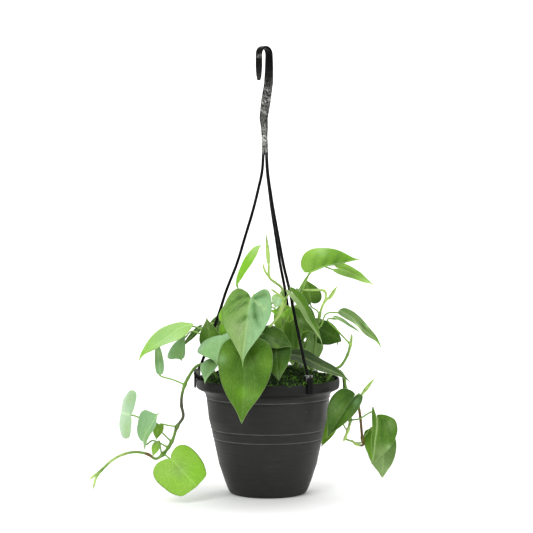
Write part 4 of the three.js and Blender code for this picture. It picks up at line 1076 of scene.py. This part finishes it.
def crease(height, across):
    """Height of the strap's creases at a spot, from -1 to 1. They run aslant."""
    lift = 0.0
    for place, slope in STRAP_CREASES:
        off = height - place + slope * across
        lift += hump(off, 0, 1.5) - 0.8 * hump(off, -3.2, 2.2)
    return lift + 0.25 * math.sin(height * 0.9 + across * 1.7) * (RUMPLED_SPAN[0] < height < RUMPLED_SPAN[1])


def add_band(skin, sizes):
    """The strap and hook as one rounded band with creases."""
    thick = sizes.strap_thickness / MM
    corners, stress = [], []
    columns = np.linspace(-1, 1, 11)
    low, high = CREASE_HIGHLIGHT_SPAN
    for centre, across, outward, width in band_stations():
        ring, pale = [], []
        for face in (1, -1):
            for column in columns * face:
                edge = 1 - abs(column) ** 6
                lift = thick / 2 * (0.35 + 0.65 * edge)
                aside = column * width / 2
                if centre.z < CREASED_BELOW:
                    lift += sizes.crease_depth / MM * crease(centre.z, aside) * edge
                if JOINT_GROOVE_SPAN[0] < centre.z < JOINT_GROOVE_SPAN[1]:
                    lift -= JOINT_GROOVE_DEPTH * hump(aside, 0, JOINT_GROOVE_REACH) * edge
                spot = centre + across * aside + outward * (lift * face)
                ring.append(tuple(spot))
                # Pale round the joint where it was bent; painted highlights on crease tops, across the strap and on
                # the hook band's front.
                middle = hump(centre.z, *STRESS_MIDDLE) * (1.0 if aside < 1.5 else 0.45)
                wedge = 0.7 * hump(centre.z, *STRESS_WEDGE) * hump(aside, 0, 1.4)
                creased = 0.5 * max(0.0, crease(centre.z, aside)) * (low < centre.z < high)
                sheen = 0.28 * hump(centre.z, *STRAP_SHEEN_HIGHLIGHT)
                band = 0.4 * hump(centre.z, *HOOK_BAND_HIGHLIGHT) if face > 0 else 0.0
                pale.append(min(1.0, middle + wedge + creased + sheen + band))
        corners.append(ring)
        stress.append(pale)
    size = len(corners[0])
    faces = ring_faces(len(corners), size) + end_faces(len(corners), size)
    skin.add([spot for ring in corners for spot in ring], faces, stress=[p for row in stress for p in row])


def strand_route(angle):
    """The middle line of the strand that ends at an angle round the rim, in mm."""
    turn = math.radians(angle)
    points = []
    for r, z in STRAND_FALL:
        shift = STRAND_SHIFT * max(0, z - CLIP_TOP) / (STRAND_FALL[0][1] - CLIP_TOP)
        points.append((shift + r * math.cos(turn), r * math.sin(turn), z))
    return smooth_route(points, 70)


def add_clip(skin, angle):
    """One clip: a rounded inverted U over the rim with a raised snap on its face."""
    inner, outer = CLIP_FACES
    back, front = inner - CLIP_THICKNESS, outer + CLIP_THICKNESS
    low, middle, high = CLIP_SNAP
    outline = rounded_outline([
        (front, CLIP_BOTTOM), (front, low), (front + CLIP_SNAP_LIFT, middle), (front, high), (front, CLIP_TOP),
        (back, CLIP_TOP), (back, CLIP_BACK_END), (inner, CLIP_BACK_END), (inner, CLIP_BRIDGE),
        (outer, CLIP_BRIDGE), (outer, CLIP_BOTTOM),
    ], CLIP_ROUNDING, 3)
    turn = math.radians(angle)
    toward = np.array((math.cos(turn), math.sin(turn), 0))
    aside = np.array((-math.sin(turn), math.cos(turn), 0))
    pull = outline.mean(axis=0) - outline
    rings = []
    for place, inset in CLIP_SECTIONS:
        shrunk = outline + pull / np.linalg.norm(pull, axis=1)[:, None] * inset
        rings.append([toward * r + aside * place * CLIP_WIDTH / 2 + (0, 0, z) for r, z in shrunk])
    corners = [spot for ring in rings for spot in ring]
    faces = ring_faces(len(rings), len(outline)) + end_faces(len(rings), len(outline))
    # Painted highlight on the top of each clip's snap.
    pale = [SNAP_HIGHLIGHT if spot[2] > CLIP_TOP - 1 else 0.0 for spot in corners]
    skin.add(corners, faces, stress=pale)


class PHILODENDRON_OT_hanger(bpy.types.Operator):
    """Makes the strands, clips, creased strap and hook as one moulding"""
    bl_idname = "philodendron.hanger"
    bl_label = "Hanger"

    def execute(self, context):
        sizes = context.scene.hanger_sizes
        skin = Skin()
        add_band(skin, sizes)
        for angle in CLIP_ANGLES:
            route = strand_route(angle)
            radii = np.full(len(route), sizes.strand_radius / MM)
            stress = 0.75 * hump(route[:, 2], *STRESS_JOINT)
            corners, faces = tube(route, radii, STRAND_SIDES)
            skin.add(corners, faces, stress=np.repeat(stress, STRAND_SIDES))
            add_clip(skin, angle)
        hanger = skin.piece("clip_on_hanger", [hanger_plastic(sizes)])
        seat(hanger, "hanger_plastic", "hanger")
        return {"FINISHED"}


# Soil and moss.

class PHILODENDRON_OT_soil(bpy.types.Operator):
    """Gives the growing mix in the pot its crumbly finish"""
    bl_idname = "philodendron.soil"
    bl_label = "Soil"

    def execute(self, context):
        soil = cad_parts["soil"]
        soil.data.materials.clear()
        soil.data.materials.append(soil_crumb(context.scene.moss_sizes))
        return {"FINISHED"}


def moss_height(radius, turn):
    """Height of the moss at a distance from the middle and a turn in radians."""
    share = radius / MOSS_EDGE[0]
    lumps = np.sin(5 * turn + radius / 9) + np.sin(11 * turn - radius / 6) * 0.6
    fine = 0.5 * np.sin(23 * turn + radius / 2.3) + 0.5 * np.sin(radius * 0.9 - 17 * turn)
    lift = MOSS_EDGE[1] + MOSS_RISE * (1 - share * share) + MOSS_LUMP * lumps * min(1, 3 * share)
    return lift + 0.7 * fine * min(1, 3 * share)


def moss_mound():
    """The moss's own closed body, as corners and faces."""
    sectors = MOSS_SECTORS
    turns = np.linspace(0, 2 * math.pi, sectors, endpoint=False)
    rings = [[(r * math.cos(a), r * math.sin(a), z) for a in turns] for r, z in (MOSS_FOOT, MOSS_LEDGE)]
    for radius in np.linspace(MOSS_EDGE[0], MOSS_CORE, MOSS_RINGS):
        rings.append([(radius * math.cos(a), radius * math.sin(a), moss_height(radius, a)) for a in turns])
    corners = [spot for ring in rings for spot in ring]
    faces = ring_faces(len(rings), sectors)
    corners += [(0, 0, MOSS_FOOT[1]), (0, 0, moss_height(0, 0))]
    last = (len(rings) - 1) * sectors
    faces += [((k + 1) % sectors, k, len(corners) - 2) for k in range(sectors)]
    faces += [(last + k, last + (k + 1) % sectors, len(corners) - 1) for k in range(sectors)]
    return corners, faces


def rim_strip():
    """A narrow sloping strip over the front of the rim, where loose threads spill out."""
    corners, faces = [], []
    for k, degrees in enumerate(np.linspace(*SPILL_DEGREES, 46)):
        turn = math.radians(degrees)
        for r, z in SPILL_LINE:
            corners.append((r * math.cos(turn), r * math.sin(turn), z))
        if k:
            faces.append((2 * k - 2, 2 * k, 2 * k + 1, 2 * k - 1))
    return corners, faces


def new_tree(name, inputs):
    """An empty Geometry Nodes tree with named inputs, its nodes and its group ends."""
    tree = bpy.data.node_groups.new(name, "GeometryNodeTree")
    tree.interface.new_socket("Geometry", in_out="INPUT", socket_type="NodeSocketGeometry")
    for label, kind, value in inputs:
        socket = tree.interface.new_socket(label, in_out="INPUT", socket_type=kind)
        if value is not None:
            socket.default_value = value
    tree.interface.new_socket("Geometry", in_out="OUTPUT", socket_type="NodeSocketGeometry")
    return tree, tree.nodes.new("NodeGroupInput"), tree.nodes.new("NodeGroupOutput")


def wire(tree, source, output, target, key):
    """Links one node's output to another node's input."""
    tree.links.new(source.outputs[output], target.inputs[key])


def moss_tree():
    """Curly threads over a surface: a short spiral swept into a thread, turned and sized at random."""
    tree, start, end = new_tree("curly_threads", [
        ("Density", "NodeSocketFloat", 1000.0), ("Thread radius", "NodeSocketFloat", 0.0003),
        ("Curl radius", "NodeSocketFloat", 0.002), ("Curl height", "NodeSocketFloat", 0.004),
        ("Seed", "NodeSocketInt", 1), ("Material", "NodeSocketMaterial", None),
    ])
    nodes = tree.nodes
    scatter = nodes.new("GeometryNodeDistributePointsOnFaces")
    wire(tree, start, "Geometry", scatter, "Mesh")
    wire(tree, start, "Density", scatter, "Density")
    wire(tree, start, "Seed", scatter, "Seed")
    spiral = nodes.new("GeometryNodeCurveSpiral")
    spiral.inputs["Resolution"].default_value = THREAD_STEPS
    spiral.inputs["Rotations"].default_value = THREAD_TURNS
    wire(tree, start, "Curl radius", spiral, "Start Radius")
    wire(tree, start, "Curl height", spiral, "Height")
    spiral.inputs["End Radius"].default_value = THREAD_TIP
    profile = nodes.new("GeometryNodeCurvePrimitiveCircle")
    profile.inputs["Resolution"].default_value = THREAD_SIDES
    wire(tree, start, "Thread radius", profile, "Radius")
    sweep = nodes.new("GeometryNodeCurveToMesh")
    wire(tree, spiral, "Curve", sweep, "Curve")
    wire(tree, profile, "Curve", sweep, "Profile Curve")
    sweep.inputs["Fill Caps"].default_value = True
    turn = nodes.new("FunctionNodeRandomValue")
    turn.data_type = "FLOAT_VECTOR"
    turn.inputs[0].default_value = tuple(-limit for limit in THREAD_TILT)
    turn.inputs[1].default_value = THREAD_TILT
    size = nodes.new("FunctionNodeRandomValue")
    size.data_type = "FLOAT"
    size.inputs[2].default_value, size.inputs[3].default_value = THREAD_SIZES
    shade = nodes.new("FunctionNodeRandomValue")
    shade.data_type = "FLOAT"
    for node, offset in ((turn, 11), (size, 23), (shade, 37)):
        node.inputs["Seed"].default_value = SEED + offset
    spread = nodes.new("GeometryNodeInstanceOnPoints")
    wire(tree, scatter, "Points", spread, "Points")
    wire(tree, sweep, "Mesh", spread, "Instance")
    tree.links.new(turn.outputs[0], spread.inputs["Rotation"])
    tree.links.new(size.outputs[1], spread.inputs["Scale"])
    keep = nodes.new("GeometryNodeStoreNamedAttribute")
    keep.data_type = "FLOAT"
    keep.domain = "INSTANCE"
    keep.inputs["Name"].default_value = "thread"
    wire(tree, spread, "Instances", keep, "Geometry")
    tree.links.new(shade.outputs[1], keep.inputs["Value"])
    real = nodes.new("GeometryNodeRealizeInstances")
    wire(tree, keep, "Geometry", real, "Geometry")
    dress = nodes.new("GeometryNodeSetMaterial")
    wire(tree, real, "Geometry", dress, "Geometry")
    wire(tree, start, "Material", dress, "Material")
    wire(tree, dress, "Geometry", end, "Geometry")
    return tree


def grown(piece, tree, **values):
    """Runs a tree on a piece and returns the plain mesh that it makes."""
    grow = piece.modifiers.new("grow", "NODES")
    keys = {item.name: item.identifier for item in tree.interface.items_tree if item.in_out == "INPUT"}
    grow.node_group = tree
    for name, value in values.items():
        grow[keys[name.replace("_", " ").capitalize()]] = value
    return baked(piece)


def join(name, pieces):
    """One object out of several, their attributes kept."""
    with bpy.context.temp_override(active_object=pieces[0], selected_editable_objects=pieces):
        bpy.ops.object.join()
    pieces[0].name = name
    pieces[0].data.name = name
    return pieces[0]


class PHILODENDRON_OT_moss(bpy.types.Operator):
    """Grows the moss: a lumpy mound covered with curly threads, some over the rim"""
    bl_idname = "philodendron.moss"
    bl_label = "Moss"

    def execute(self, context):
        sizes = context.scene.moss_sizes
        material = moss_threads(sizes)
        tree = moss_tree()
        corners, faces = moss_mound()
        mound = Skin()
        mound.add(corners, faces, thread=np.full(len(corners), MOSS_BODY_SHADE))
        body = mound.piece("moss_body", [material])
        pieces = [body]
        top = Skin()
        top.add(corners, [face for face in faces if min(corners[c][2] for c in face) > MOSS_LEDGE[1]])
        strip = Skin()
        strip.add(*rim_strip())
        for name, skin, density, seed in (
            ("moss_threads", top, sizes.density, SEED), ("moss_spill", strip, SPILL_SHARE * sizes.density, SEED + 1),
        ):
            source = skin.piece(name, [])
            pieces.append(grown(source, tree, density=density, thread_radius=sizes.thread_radius,
                                curl_radius=sizes.curl_radius, curl_height=sizes.curl_height, seed=seed,
                                material=material))
        moss = join("moss_cushion", pieces)
        seat(moss, "moss", "moss")
        return {"FINISHED"}


# Stems.

def stem_tree():
    """A stem along each line of its input: a round profile as thick as the line's girth says."""
    tree, start, end = new_tree("stem_along_route", [
        ("Sides", "NodeSocketInt", 12), ("Unevenness", "NodeSocketFloat", 0.00015),
        ("Material", "NodeSocketMaterial", None),
    ])
    nodes = tree.nodes
    line = nodes.new("GeometryNodeMeshToCurve")
    wire(tree, start, "Geometry", line, "Mesh")
    girth = nodes.new("GeometryNodeInputNamedAttribute")
    girth.data_type = "FLOAT"
    girth.inputs["Name"].default_value = "girth"
    profile = nodes.new("GeometryNodeCurvePrimitiveCircle")
    wire(tree, start, "Sides", profile, "Resolution")
    profile.inputs["Radius"].default_value = 1.0
    sweep = nodes.new("GeometryNodeCurveToMesh")
    wire(tree, line, "Curve", sweep, "Curve")
    wire(tree, profile, "Curve", sweep, "Profile Curve")
    tree.links.new(girth.outputs[0], sweep.inputs["Scale"])
    sweep.inputs["Fill Caps"].default_value = True
    rough = nodes.new("ShaderNodeTexNoise")
    rough.inputs["Scale"].default_value = 420
    centre = nodes.new("ShaderNodeMath")
    centre.operation = "SUBTRACT"
    centre.inputs[1].default_value = 0.5
    amount = nodes.new("ShaderNodeMath")
    amount.operation = "MULTIPLY"
    lift = nodes.new("ShaderNodeVectorMath")
    lift.operation = "SCALE"
    normal = nodes.new("GeometryNodeInputNormal")
    tree.links.new(rough.outputs["Fac"], centre.inputs[0])
    tree.links.new(centre.outputs[0], amount.inputs[0])
    wire(tree, start, "Unevenness", amount, 1)
    tree.links.new(normal.outputs[0], lift.inputs[0])
    tree.links.new(amount.outputs[0], lift.inputs["Scale"])
    move = nodes.new("GeometryNodeSetPosition")
    wire(tree, sweep, "Mesh", move, "Geometry")
    tree.links.new(lift.outputs[0], move.inputs["Offset"])
    smooth = nodes.new("GeometryNodeSetShadeSmooth")
    wire(tree, move, "Geometry", smooth, "Geometry")
    real = nodes.new("GeometryNodeRealizeInstances")
    wire(tree, smooth, "Geometry", real, "Geometry")
    dress = nodes.new("GeometryNodeSetMaterial")
    wire(tree, real, "Geometry", dress, "Geometry")
    wire(tree, start, "Material", dress, "Material")
    wire(tree, dress, "Geometry", end, "Geometry")
    return tree


def stem_lines(name, sizes):
    """Lines of one stem with the girth of each point: its routes, its bud and its root nubs."""
    starts = [np.array(leaf["start"], float) for leaf in LEAVES.values() if leaf["vine"] == name]
    bends = [np.array(point, float) for route in VINES[name] for point in route[2:-1:2]]
    radius = sizes.radius / MM
    lines = []
    for order, route in enumerate(VINES[name]):
        length = sum((Vector(b) - Vector(a)).length for a, b in zip(route, route[1:]))
        points = smooth_route(route, max(12, int(length / STEM_STEP)))
        girth = np.full(len(points), radius * (1 if order == 0 else BRANCH_GIRTH))
        for spot in starts:
            gap = np.linalg.norm(points - spot, axis=1)
            girth += radius * sizes.swelling * hump(gap, gap.min(), NODE_REACH) * (gap.min() < NODE_LIMIT)
        for spot in bends:
            gap = np.linalg.norm(points - spot, axis=1)
            girth += BEND_SWELLING * radius * hump(gap, gap.min(), BEND_REACH) * (gap.min() < BEND_LIMIT)
        taper = np.linspace(0, 1, len(points))
        girth *= 1.08 - 0.35 * np.clip(taper - 0.55, 0, 1)
        girth[-3:] *= TIP_GIRTHS
        lines.append((points, girth))
    if name in BUDS:
        start, end, thick = BUDS[name]
        shares = np.linspace(0, 1, 22)
        points = np.array([np.array(start) + (np.array(end) - start) * s for s in shares])
        lines.append((points, np.interp(shares, *zip(*BUD_PROFILE)) * thick))
    chance = np.random.default_rng(SEED + len(name))
    for spot in starts:
        points = lines[0][0]
        near = points[np.argmin(np.linalg.norm(points - spot, axis=1))]
        if near[2] < NUB_CEILING:
            way = chance.normal(size=3)
            way /= np.linalg.norm(way)
            nub = np.array([near + way * reach for reach in NUB_REACHES])
            lines.append((nub, np.array(NUB_GIRTHS)))
    return lines


def nearness(places, points):
    """How far each point lies within the given places, from 0 to 1."""
    near = np.zeros(len(points))
    for x, y, z, reach, strength in places:
        near += strength * hump(np.linalg.norm(points - (x, y, z), axis=1), 0, reach)
    return np.clip(near, 0, 1)


class PHILODENDRON_OT_stems(bpy.types.Operator):
    """Grows every stem along its route, with swollen nodes, root nubs and rolled buds"""
    bl_idname = "philodendron.stems"
    bl_label = "Stems"

    def execute(self, context):
        sizes = context.scene.stem_sizes
        material = stem_skin(sizes)
        tree = stem_tree()
        marks = {"corky": CORKY_PLACES, "brown": BROWN_PLACES, "pale": PALE_PLACES}
        for name in VINES:
            corners, edges, girth = [], [], []
            shades = {key: [] for key in marks}
            for points, radii in stem_lines(name, sizes):
                first = len(corners)
                corners += (points * MM).tolist()
                edges += [(k, k + 1) for k in range(first, len(corners) - 1)]
                girth += (radii * MM).tolist()
                for key, places in marks.items():
                    shades[key] += nearness(places.get(name, []), points).tolist()
            mesh = bpy.data.meshes.new(name)
            mesh.from_pydata(corners, edges, [])
            for layer, values in (("girth", girth), *shades.items()):
                mesh.attributes.new(layer, "FLOAT", "POINT").data.foreach_set("value", values)
            line = bpy.data.objects.new(name + "_vine", mesh)
            context.scene.collection.objects.link(line)
            stem = grown(line, tree, sides=sizes.sides, unevenness=STEM_UNEVENNESS, material=material)
            seat(stem, "stem", "stem_" + name)
        return {"FINISHED"}


# Leaves.

def half_heart(leaf, rows, side):
    """The side veins of one half, resampled finely: rib point, reach along and reach out."""
    size = leaf["lobe"] * (1 + side * leaf["lean"])
    heart = []
    for rib, along, out in HEART:
        share = out ** (leaf["taper"] if along > HEART_WIDEST else 1 / size)
        place = along * size if along < 0 else along
        heart.append((rib, place + leaf["sweep"] * share, share))
    line = smooth_route(heart, rows, dense=24)
    line[:, 0] = np.clip(line[:, 0], 0, 1)
    line[:, 2] = np.clip(line[:, 2], 0, None)
    line[0], line[-1] = heart[0], heart[-1]
    return line


def blade_axes(leaf):
    """A blade's base, its three directions and its length, in mm."""
    base, tip = np.array(leaf["at"], float), np.array(leaf["tip"], float)
    length = np.linalg.norm(tip - base)
    along = (tip - base) / length
    up = np.array(leaf["face"], float)
    up -= along * up.dot(along)
    up /= np.linalg.norm(up)
    return base, along, np.cross(up, along), up, length


def blade_grid(leaf, rows, columns):
    """Shares u and v of every grid point, its vein number t and share s out from the midrib."""
    width, skew = leaf["width"], leaf["skew"]
    t = np.linspace(0, 1, rows)
    out = (np.linspace(0, 1, columns + 1) ** 0.92)[None, :]
    bow = (np.interp(t, *VEIN_BOW) * 0.9)[:, None]
    halves = []
    for side in (-1, 1):
        heart = half_heart(leaf, rows, side)
        u = heart[:, :1] + (heart[:, 1:2] - heart[:, :1]) * out + bow * out * (1 - out)
        v = side * (1 + side * skew) * width * heart[:, 2:] * out
        halves.append((u, v, np.repeat(side * out, rows, 0)))
    (u, v, s), right = [[grid[:, ::-1] for grid in halves[0]], halves[1]]
    u, v, s = (np.concatenate([a, b[:, 1:]], axis=1) for a, b in zip((u, v, s), right))
    return u, v, np.repeat(t[:, None], u.shape[1], 1), s


def blade_rise(leaf, u, v, t, s, seed):
    """Height of the blade over its chord, as a share of its length."""
    arch, fold, wave = leaf["arch"], leaf["fold"], leaf["wave"]
    crease = np.sqrt(v * v + RIB_SOFTNESS**2) - RIB_SOFTNESS
    rise = 4 * arch * u * (1 - u) + fold * crease - 0.5 * v * v
    rise += wave * np.sin(9 * u + 5 * v)
    rise += RIPPLE * s * s * np.sin(17 * t + seed) * np.sin(math.pi * np.clip(t, 0, 1))
    return rise - 2 * np.clip(u - DROOP_FROM, 0, 1) ** 2


def blade_shades(leaf, sizes, u, v):
    """Colour of every grid point: the blade's look, its two halves and its shades."""
    colour = np.full(u.shape + (4,), leaf["paleness"])
    colour[..., :3] = getattr(sizes, LOOKS[leaf["look"]][1])
    if "left" in leaf:
        left, right = (np.array(getattr(sizes, leaf[key])) for key in ("left", "right"))
        side = np.clip(0.5 + v / (0.1 * leaf["width"]), 0, 1)[..., None]
        colour[..., :3] = left * (1 - side) + right * side
    for name, centre_u, centre_v, reach, strength in leaf["shades"]:
        near = strength * np.exp(-(((u - centre_u) ** 2 + (v - centre_v) ** 2) / reach**2))[..., None]
        colour[..., :3] = colour[..., :3] * (1 - near) + np.array(getattr(sizes, name)) * near
    return colour


def stroke(u, v, fold):
    """How close every grid point is to a fold's line, from 0 to 1, and the fold's depth in mm."""
    first, last = np.array(fold[:2]), np.array(fold[2:4])
    way = last - first
    spots = np.stack([u, v], axis=-1) - first
    share = np.clip((spots @ way) / way.dot(way), 0, 1)
    gap = np.linalg.norm(spots - share[..., None] * way, axis=-1)
    return hump(gap, 0, fold[4]) * (1 - 0.55 * share), fold[5]


def add_blade(skin, leaf, sizes, seed):
    """Both sides of a blade, joined along a thin margin."""
    base, along, aside, up, length = blade_axes(leaf)
    rows, columns = LARGE_GRID if length > LARGE_BLADE else SMALL_GRID
    u, v, t, s = blade_grid(leaf, rows, columns)
    rise = blade_rise(leaf, u, v, t, s, seed)
    middle = base + (u[..., None] * along + v[..., None] * aside + rise[..., None] * up) * length
    flat = np.stack([u, v], axis=-1) * length
    margin = np.concatenate([flat[0], flat[:, 0], flat[:, -1]])
    edge = np.linalg.norm(flat[:, :, None, :] - margin[None, None], axis=-1).min(axis=-1)
    across = v * length
    ribs = leaf["veins"]
    turn = t - leaf["slant"] * np.abs(s) ** 1.2
    off_vein = np.abs((turn * ribs + 0.5) % 1 - 0.5)
    vein = hump(off_vein, 0, VEIN_WIDTH) * np.sin(math.pi * np.clip(np.abs(s), 0, 1))
    hollow = HOLLOW_DEPTH * hump(across, 0, HOLLOW_REACH)
    depth = sizes.vein_depth / MM * leaf["quilt"]
    relief = -depth * vein - hollow * np.clip(edge / 3, 0, 1)
    tint = blade_shades(leaf, sizes, u, v)
    # Painted shade in the vein hollows; in each fold painted shade where it is sunk and a painted highlight where it
    # is raised.
    tint[..., :3] *= (1 - VEIN_SHADE * leaf["quilt"] * vein)[..., None]
    for near, sunk in (stroke(u, v, fold) for fold in leaf["folds"]):
        relief -= sunk * near
        fold_paint = tint[..., :3] * FOLD_SHADE_TINT if sunk > 0 else np.array(sizes.rib_colour)
        share = (min(1.0, abs(sunk)) * near)[..., None]
        tint[..., :3] = tint[..., :3] * (1 - share) + fold_paint * share
    half = sizes.thickness / MM / 2 * (1 - np.exp(-edge / 0.5))
    normals = np.cross(np.gradient(middle, axis=0), np.gradient(middle, axis=1))
    size = np.linalg.norm(normals, axis=-1, keepdims=True)
    normals = np.where(size > 1e-9, normals / np.maximum(size, 1e-9), up)
    normals *= np.sign((normals * up).sum(axis=-1, keepdims=True) + 1e-12)
    lifted = middle + up * (relief * np.clip(edge / 1.5, 0, 1))[..., None]
    ridge = RIDGE_UNDER_RIB * hump(across, 0, 0.8) * np.clip(edge / 2, 0, 1) * leaf["rib"]
    count = u.shape[1]
    for face in (1, -1):
        offset = half if face > 0 else -(half + ridge)
        corners = (lifted + up * offset[..., None]).reshape(-1, 3)
        faces = []
        for i in range(rows - 1):
            for k in range(count - 1):
                a = i * count + k
                quad = (a, a + 1, a + count + 1, a + count)
                faces.append(quad if face > 0 else quad[::-1])
        below = np.where(edge < 1e-6, 0.5, 0.0 if face > 0 else 1.0)
        skin.add(corners, faces, 0, blade=np.stack([turn, s, below], -1).reshape(-1, 3),
                 reach=np.stack([across, edge, np.full_like(t, ribs)], -1).reshape(-1, 3), tint=tint.reshape(-1, 4))


def add_petiole(skin, leaf, sizes):
    """The leaf's stalk: it leaves the stem, bends up and runs under the start of the midrib."""
    base, along, _, up, _ = blade_axes(leaf)
    start = np.array(leaf["start"], float)
    arrive = 0.7 * up + 0.5 * along
    arrive /= np.linalg.norm(arrive)
    bend = base - arrive * leaf["bend"] * np.linalg.norm(base - start)
    middle = np.array(leaf.get("via", tuple((start + bend) / 2)), float)
    end = base + along * 2.5 - up * 0.35
    route = smooth_route([tuple(spot) for spot in (start, middle, bend, end)], STALK_POINTS)
    shares = np.linspace(0, 1, len(route))
    radius = sizes.petiole_radius / MM
    radii = radius * (1 + 0.45 * hump(shares, 0, 0.07) + 0.12 * hump(shares, 0.93, 0.06))
    radii[-3:] *= (0.95, 0.8, 0.45)
    corners, faces = tube(route, radii, STALK_SIDES)
    tint = np.ones((len(corners), 4))
    tint[:, :3] = sizes.stalk_colour
    skin.add(corners, faces, 1, tint=tint)


class PHILODENDRON_OT_leaves(bpy.types.Operator):
    """Grows every leaf: a veined heart-shaped blade on its stalk"""
    bl_idname = "philodendron.leaves"
    bl_label = "Leaves"

    def execute(self, context):
        sizes = context.scene.leaf_sizes
        surfaces = {look: leaf_surface(sizes, *values[2:]) for look, values in LOOKS.items()}
        stalk = petiole_skin()
        for seed, (name, entry) in enumerate(LEAVES.items()):
            leaf = {**BLADE, **entry}
            skin = Skin()
            add_blade(skin, leaf, sizes, seed * 1.7)
            add_petiole(skin, leaf, sizes)
            piece = skin.piece(name + "_leaf", [surfaces[leaf["look"]], stalk], merge=0.002)
            seat(piece, LOOKS[leaf["look"]][0], "leaf_" + name)
        return {"FINISHED"}


# Stage.

def add_light(name, place, target, width, power):
    """An area light that looks at its target."""
    data = bpy.data.lights.new(name, "AREA")
    data.shape = "RECTANGLE"
    data.size, data.size_y = width, width * LIGHT_ASPECT
    data.energy = power
    light = bpy.data.objects.new(name, data)
    light.location = place
    light.rotation_mode = "QUATERNION"
    light.rotation_quaternion = (Vector(target) - Vector(place)).to_track_quat("-Z", "Y")
    bpy.context.scene.collection.objects.link(light)


def floor_sweep():
    """A pale floor that curves up into a backdrop."""
    bend = np.linspace(0.1, math.pi / 2, 14)
    profile = [(-FLOOR_HALF, 0.0), (FLOOR_BACK, 0.0)]
    profile += [(FLOOR_BACK + SWEEP_RADIUS * math.sin(a), SWEEP_RADIUS * (1 - math.cos(a))) for a in bend]
    profile.append((FLOOR_BACK + SWEEP_RADIUS, BACKDROP_TOP))
    corners = [(x / MM, y / MM, (z - FLOOR_DROP) / MM) for y, z in profile for x in (-FLOOR_HALF, FLOOR_HALF)]
    faces = [(2 * k, 2 * k + 1, 2 * k + 3, 2 * k + 2) for k in range(len(profile) - 1)]
    return corners, faces


class PHILODENDRON_OT_stage(bpy.types.Operator):
    """Sets the pale floor, soft studio light and the camera"""
    bl_idname = "philodendron.stage"
    bl_label = "Stage"

    def execute(self, context):
        finish = Finish("pale_floor")
        cloud = finish.noise(0.6, 2)
        colour = finish.mix(cloud, *FLOOR_SHADES)
        sweep = Skin()
        sweep.add(*floor_sweep())
        floor = sweep.piece("studio_floor", [finish.done(colour, 0.8)])
        world = bpy.data.worlds.new("soft_studio")
        world.use_nodes = True
        background = world.node_tree.nodes["Background"]
        background.inputs["Color"].default_value = (1, 1, 1, 1)
        background.inputs["Strength"].default_value = WORLD_LIGHT
        context.scene.world = world
        for light in LIGHTS:
            add_light(*light)
        data = bpy.data.cameras.new("studio_camera")
        data.lens = CAMERA_LENS
        data.sensor_width = CAMERA_SENSOR
        data.clip_end = 100
        camera = bpy.data.objects.new("studio_camera", data)
        camera.location = CAMERA_PLACE
        camera.rotation_euler = (math.radians(90 - CAMERA_TIP), 0, 0)
        context.scene.collection.objects.link(camera)
        context.scene.camera = camera
        context.scene.view_settings.view_transform = "Standard"
        return {"FINISHED"}


class PHILODENDRON_PT_panel(bpy.types.Panel):
    """Lists the plant's pieces with their sizes and colours"""
    bl_label = "Philodendron"
    bl_idname = "PHILODENDRON_PT_panel"
    bl_space_type = "VIEW_3D"
    bl_region_type = "UI"
    bl_category = "Philodendron"

    def draw(self, context):
        for operator, group in (
            ("pot", "pot_sizes"), ("hanger", "hanger_sizes"), ("soil", "moss_sizes"), ("moss", None),
            ("stems", "stem_sizes"), ("leaves", "leaf_sizes"), ("stage", None),
        ):
            box = self.layout.box()
            box.operator("philodendron." + operator)
            if group:
                sizes = getattr(context.scene, group)
                for key in sizes.bl_rna.properties.keys():
                    if key not in ("rna_type", "name"):
                        box.prop(sizes, key)


GROUPS = {
    "pot_sizes": PotSizes, "hanger_sizes": HangerSizes, "moss_sizes": MossSizes, "stem_sizes": StemSizes,
    "leaf_sizes": LeafSizes,
}
CLASSES = [
    *GROUPS.values(), PHILODENDRON_OT_pot, PHILODENDRON_OT_hanger, PHILODENDRON_OT_soil, PHILODENDRON_OT_moss,
    PHILODENDRON_OT_stems, PHILODENDRON_OT_leaves, PHILODENDRON_OT_stage, PHILODENDRON_PT_panel,
]


def register():
    """Adds the classes and the groups of sizes to Blender."""
    for item in CLASSES:
        bpy.utils.register_class(item)
    for name, group in GROUPS.items():
        setattr(bpy.types.Scene, name, bpy.props.PointerProperty(type=group))


def unregister():
    """Takes them out again."""
    for name in GROUPS:
        delattr(bpy.types.Scene, name)
    for item in reversed(CLASSES):
        bpy.utils.unregister_class(item)


def main():
    register()
    for name in ("pot", "hanger", "soil", "moss", "stems", "leaves", "stage"):
        getattr(bpy.ops.philodendron, name)()


if __name__ == "__main__":
    main()
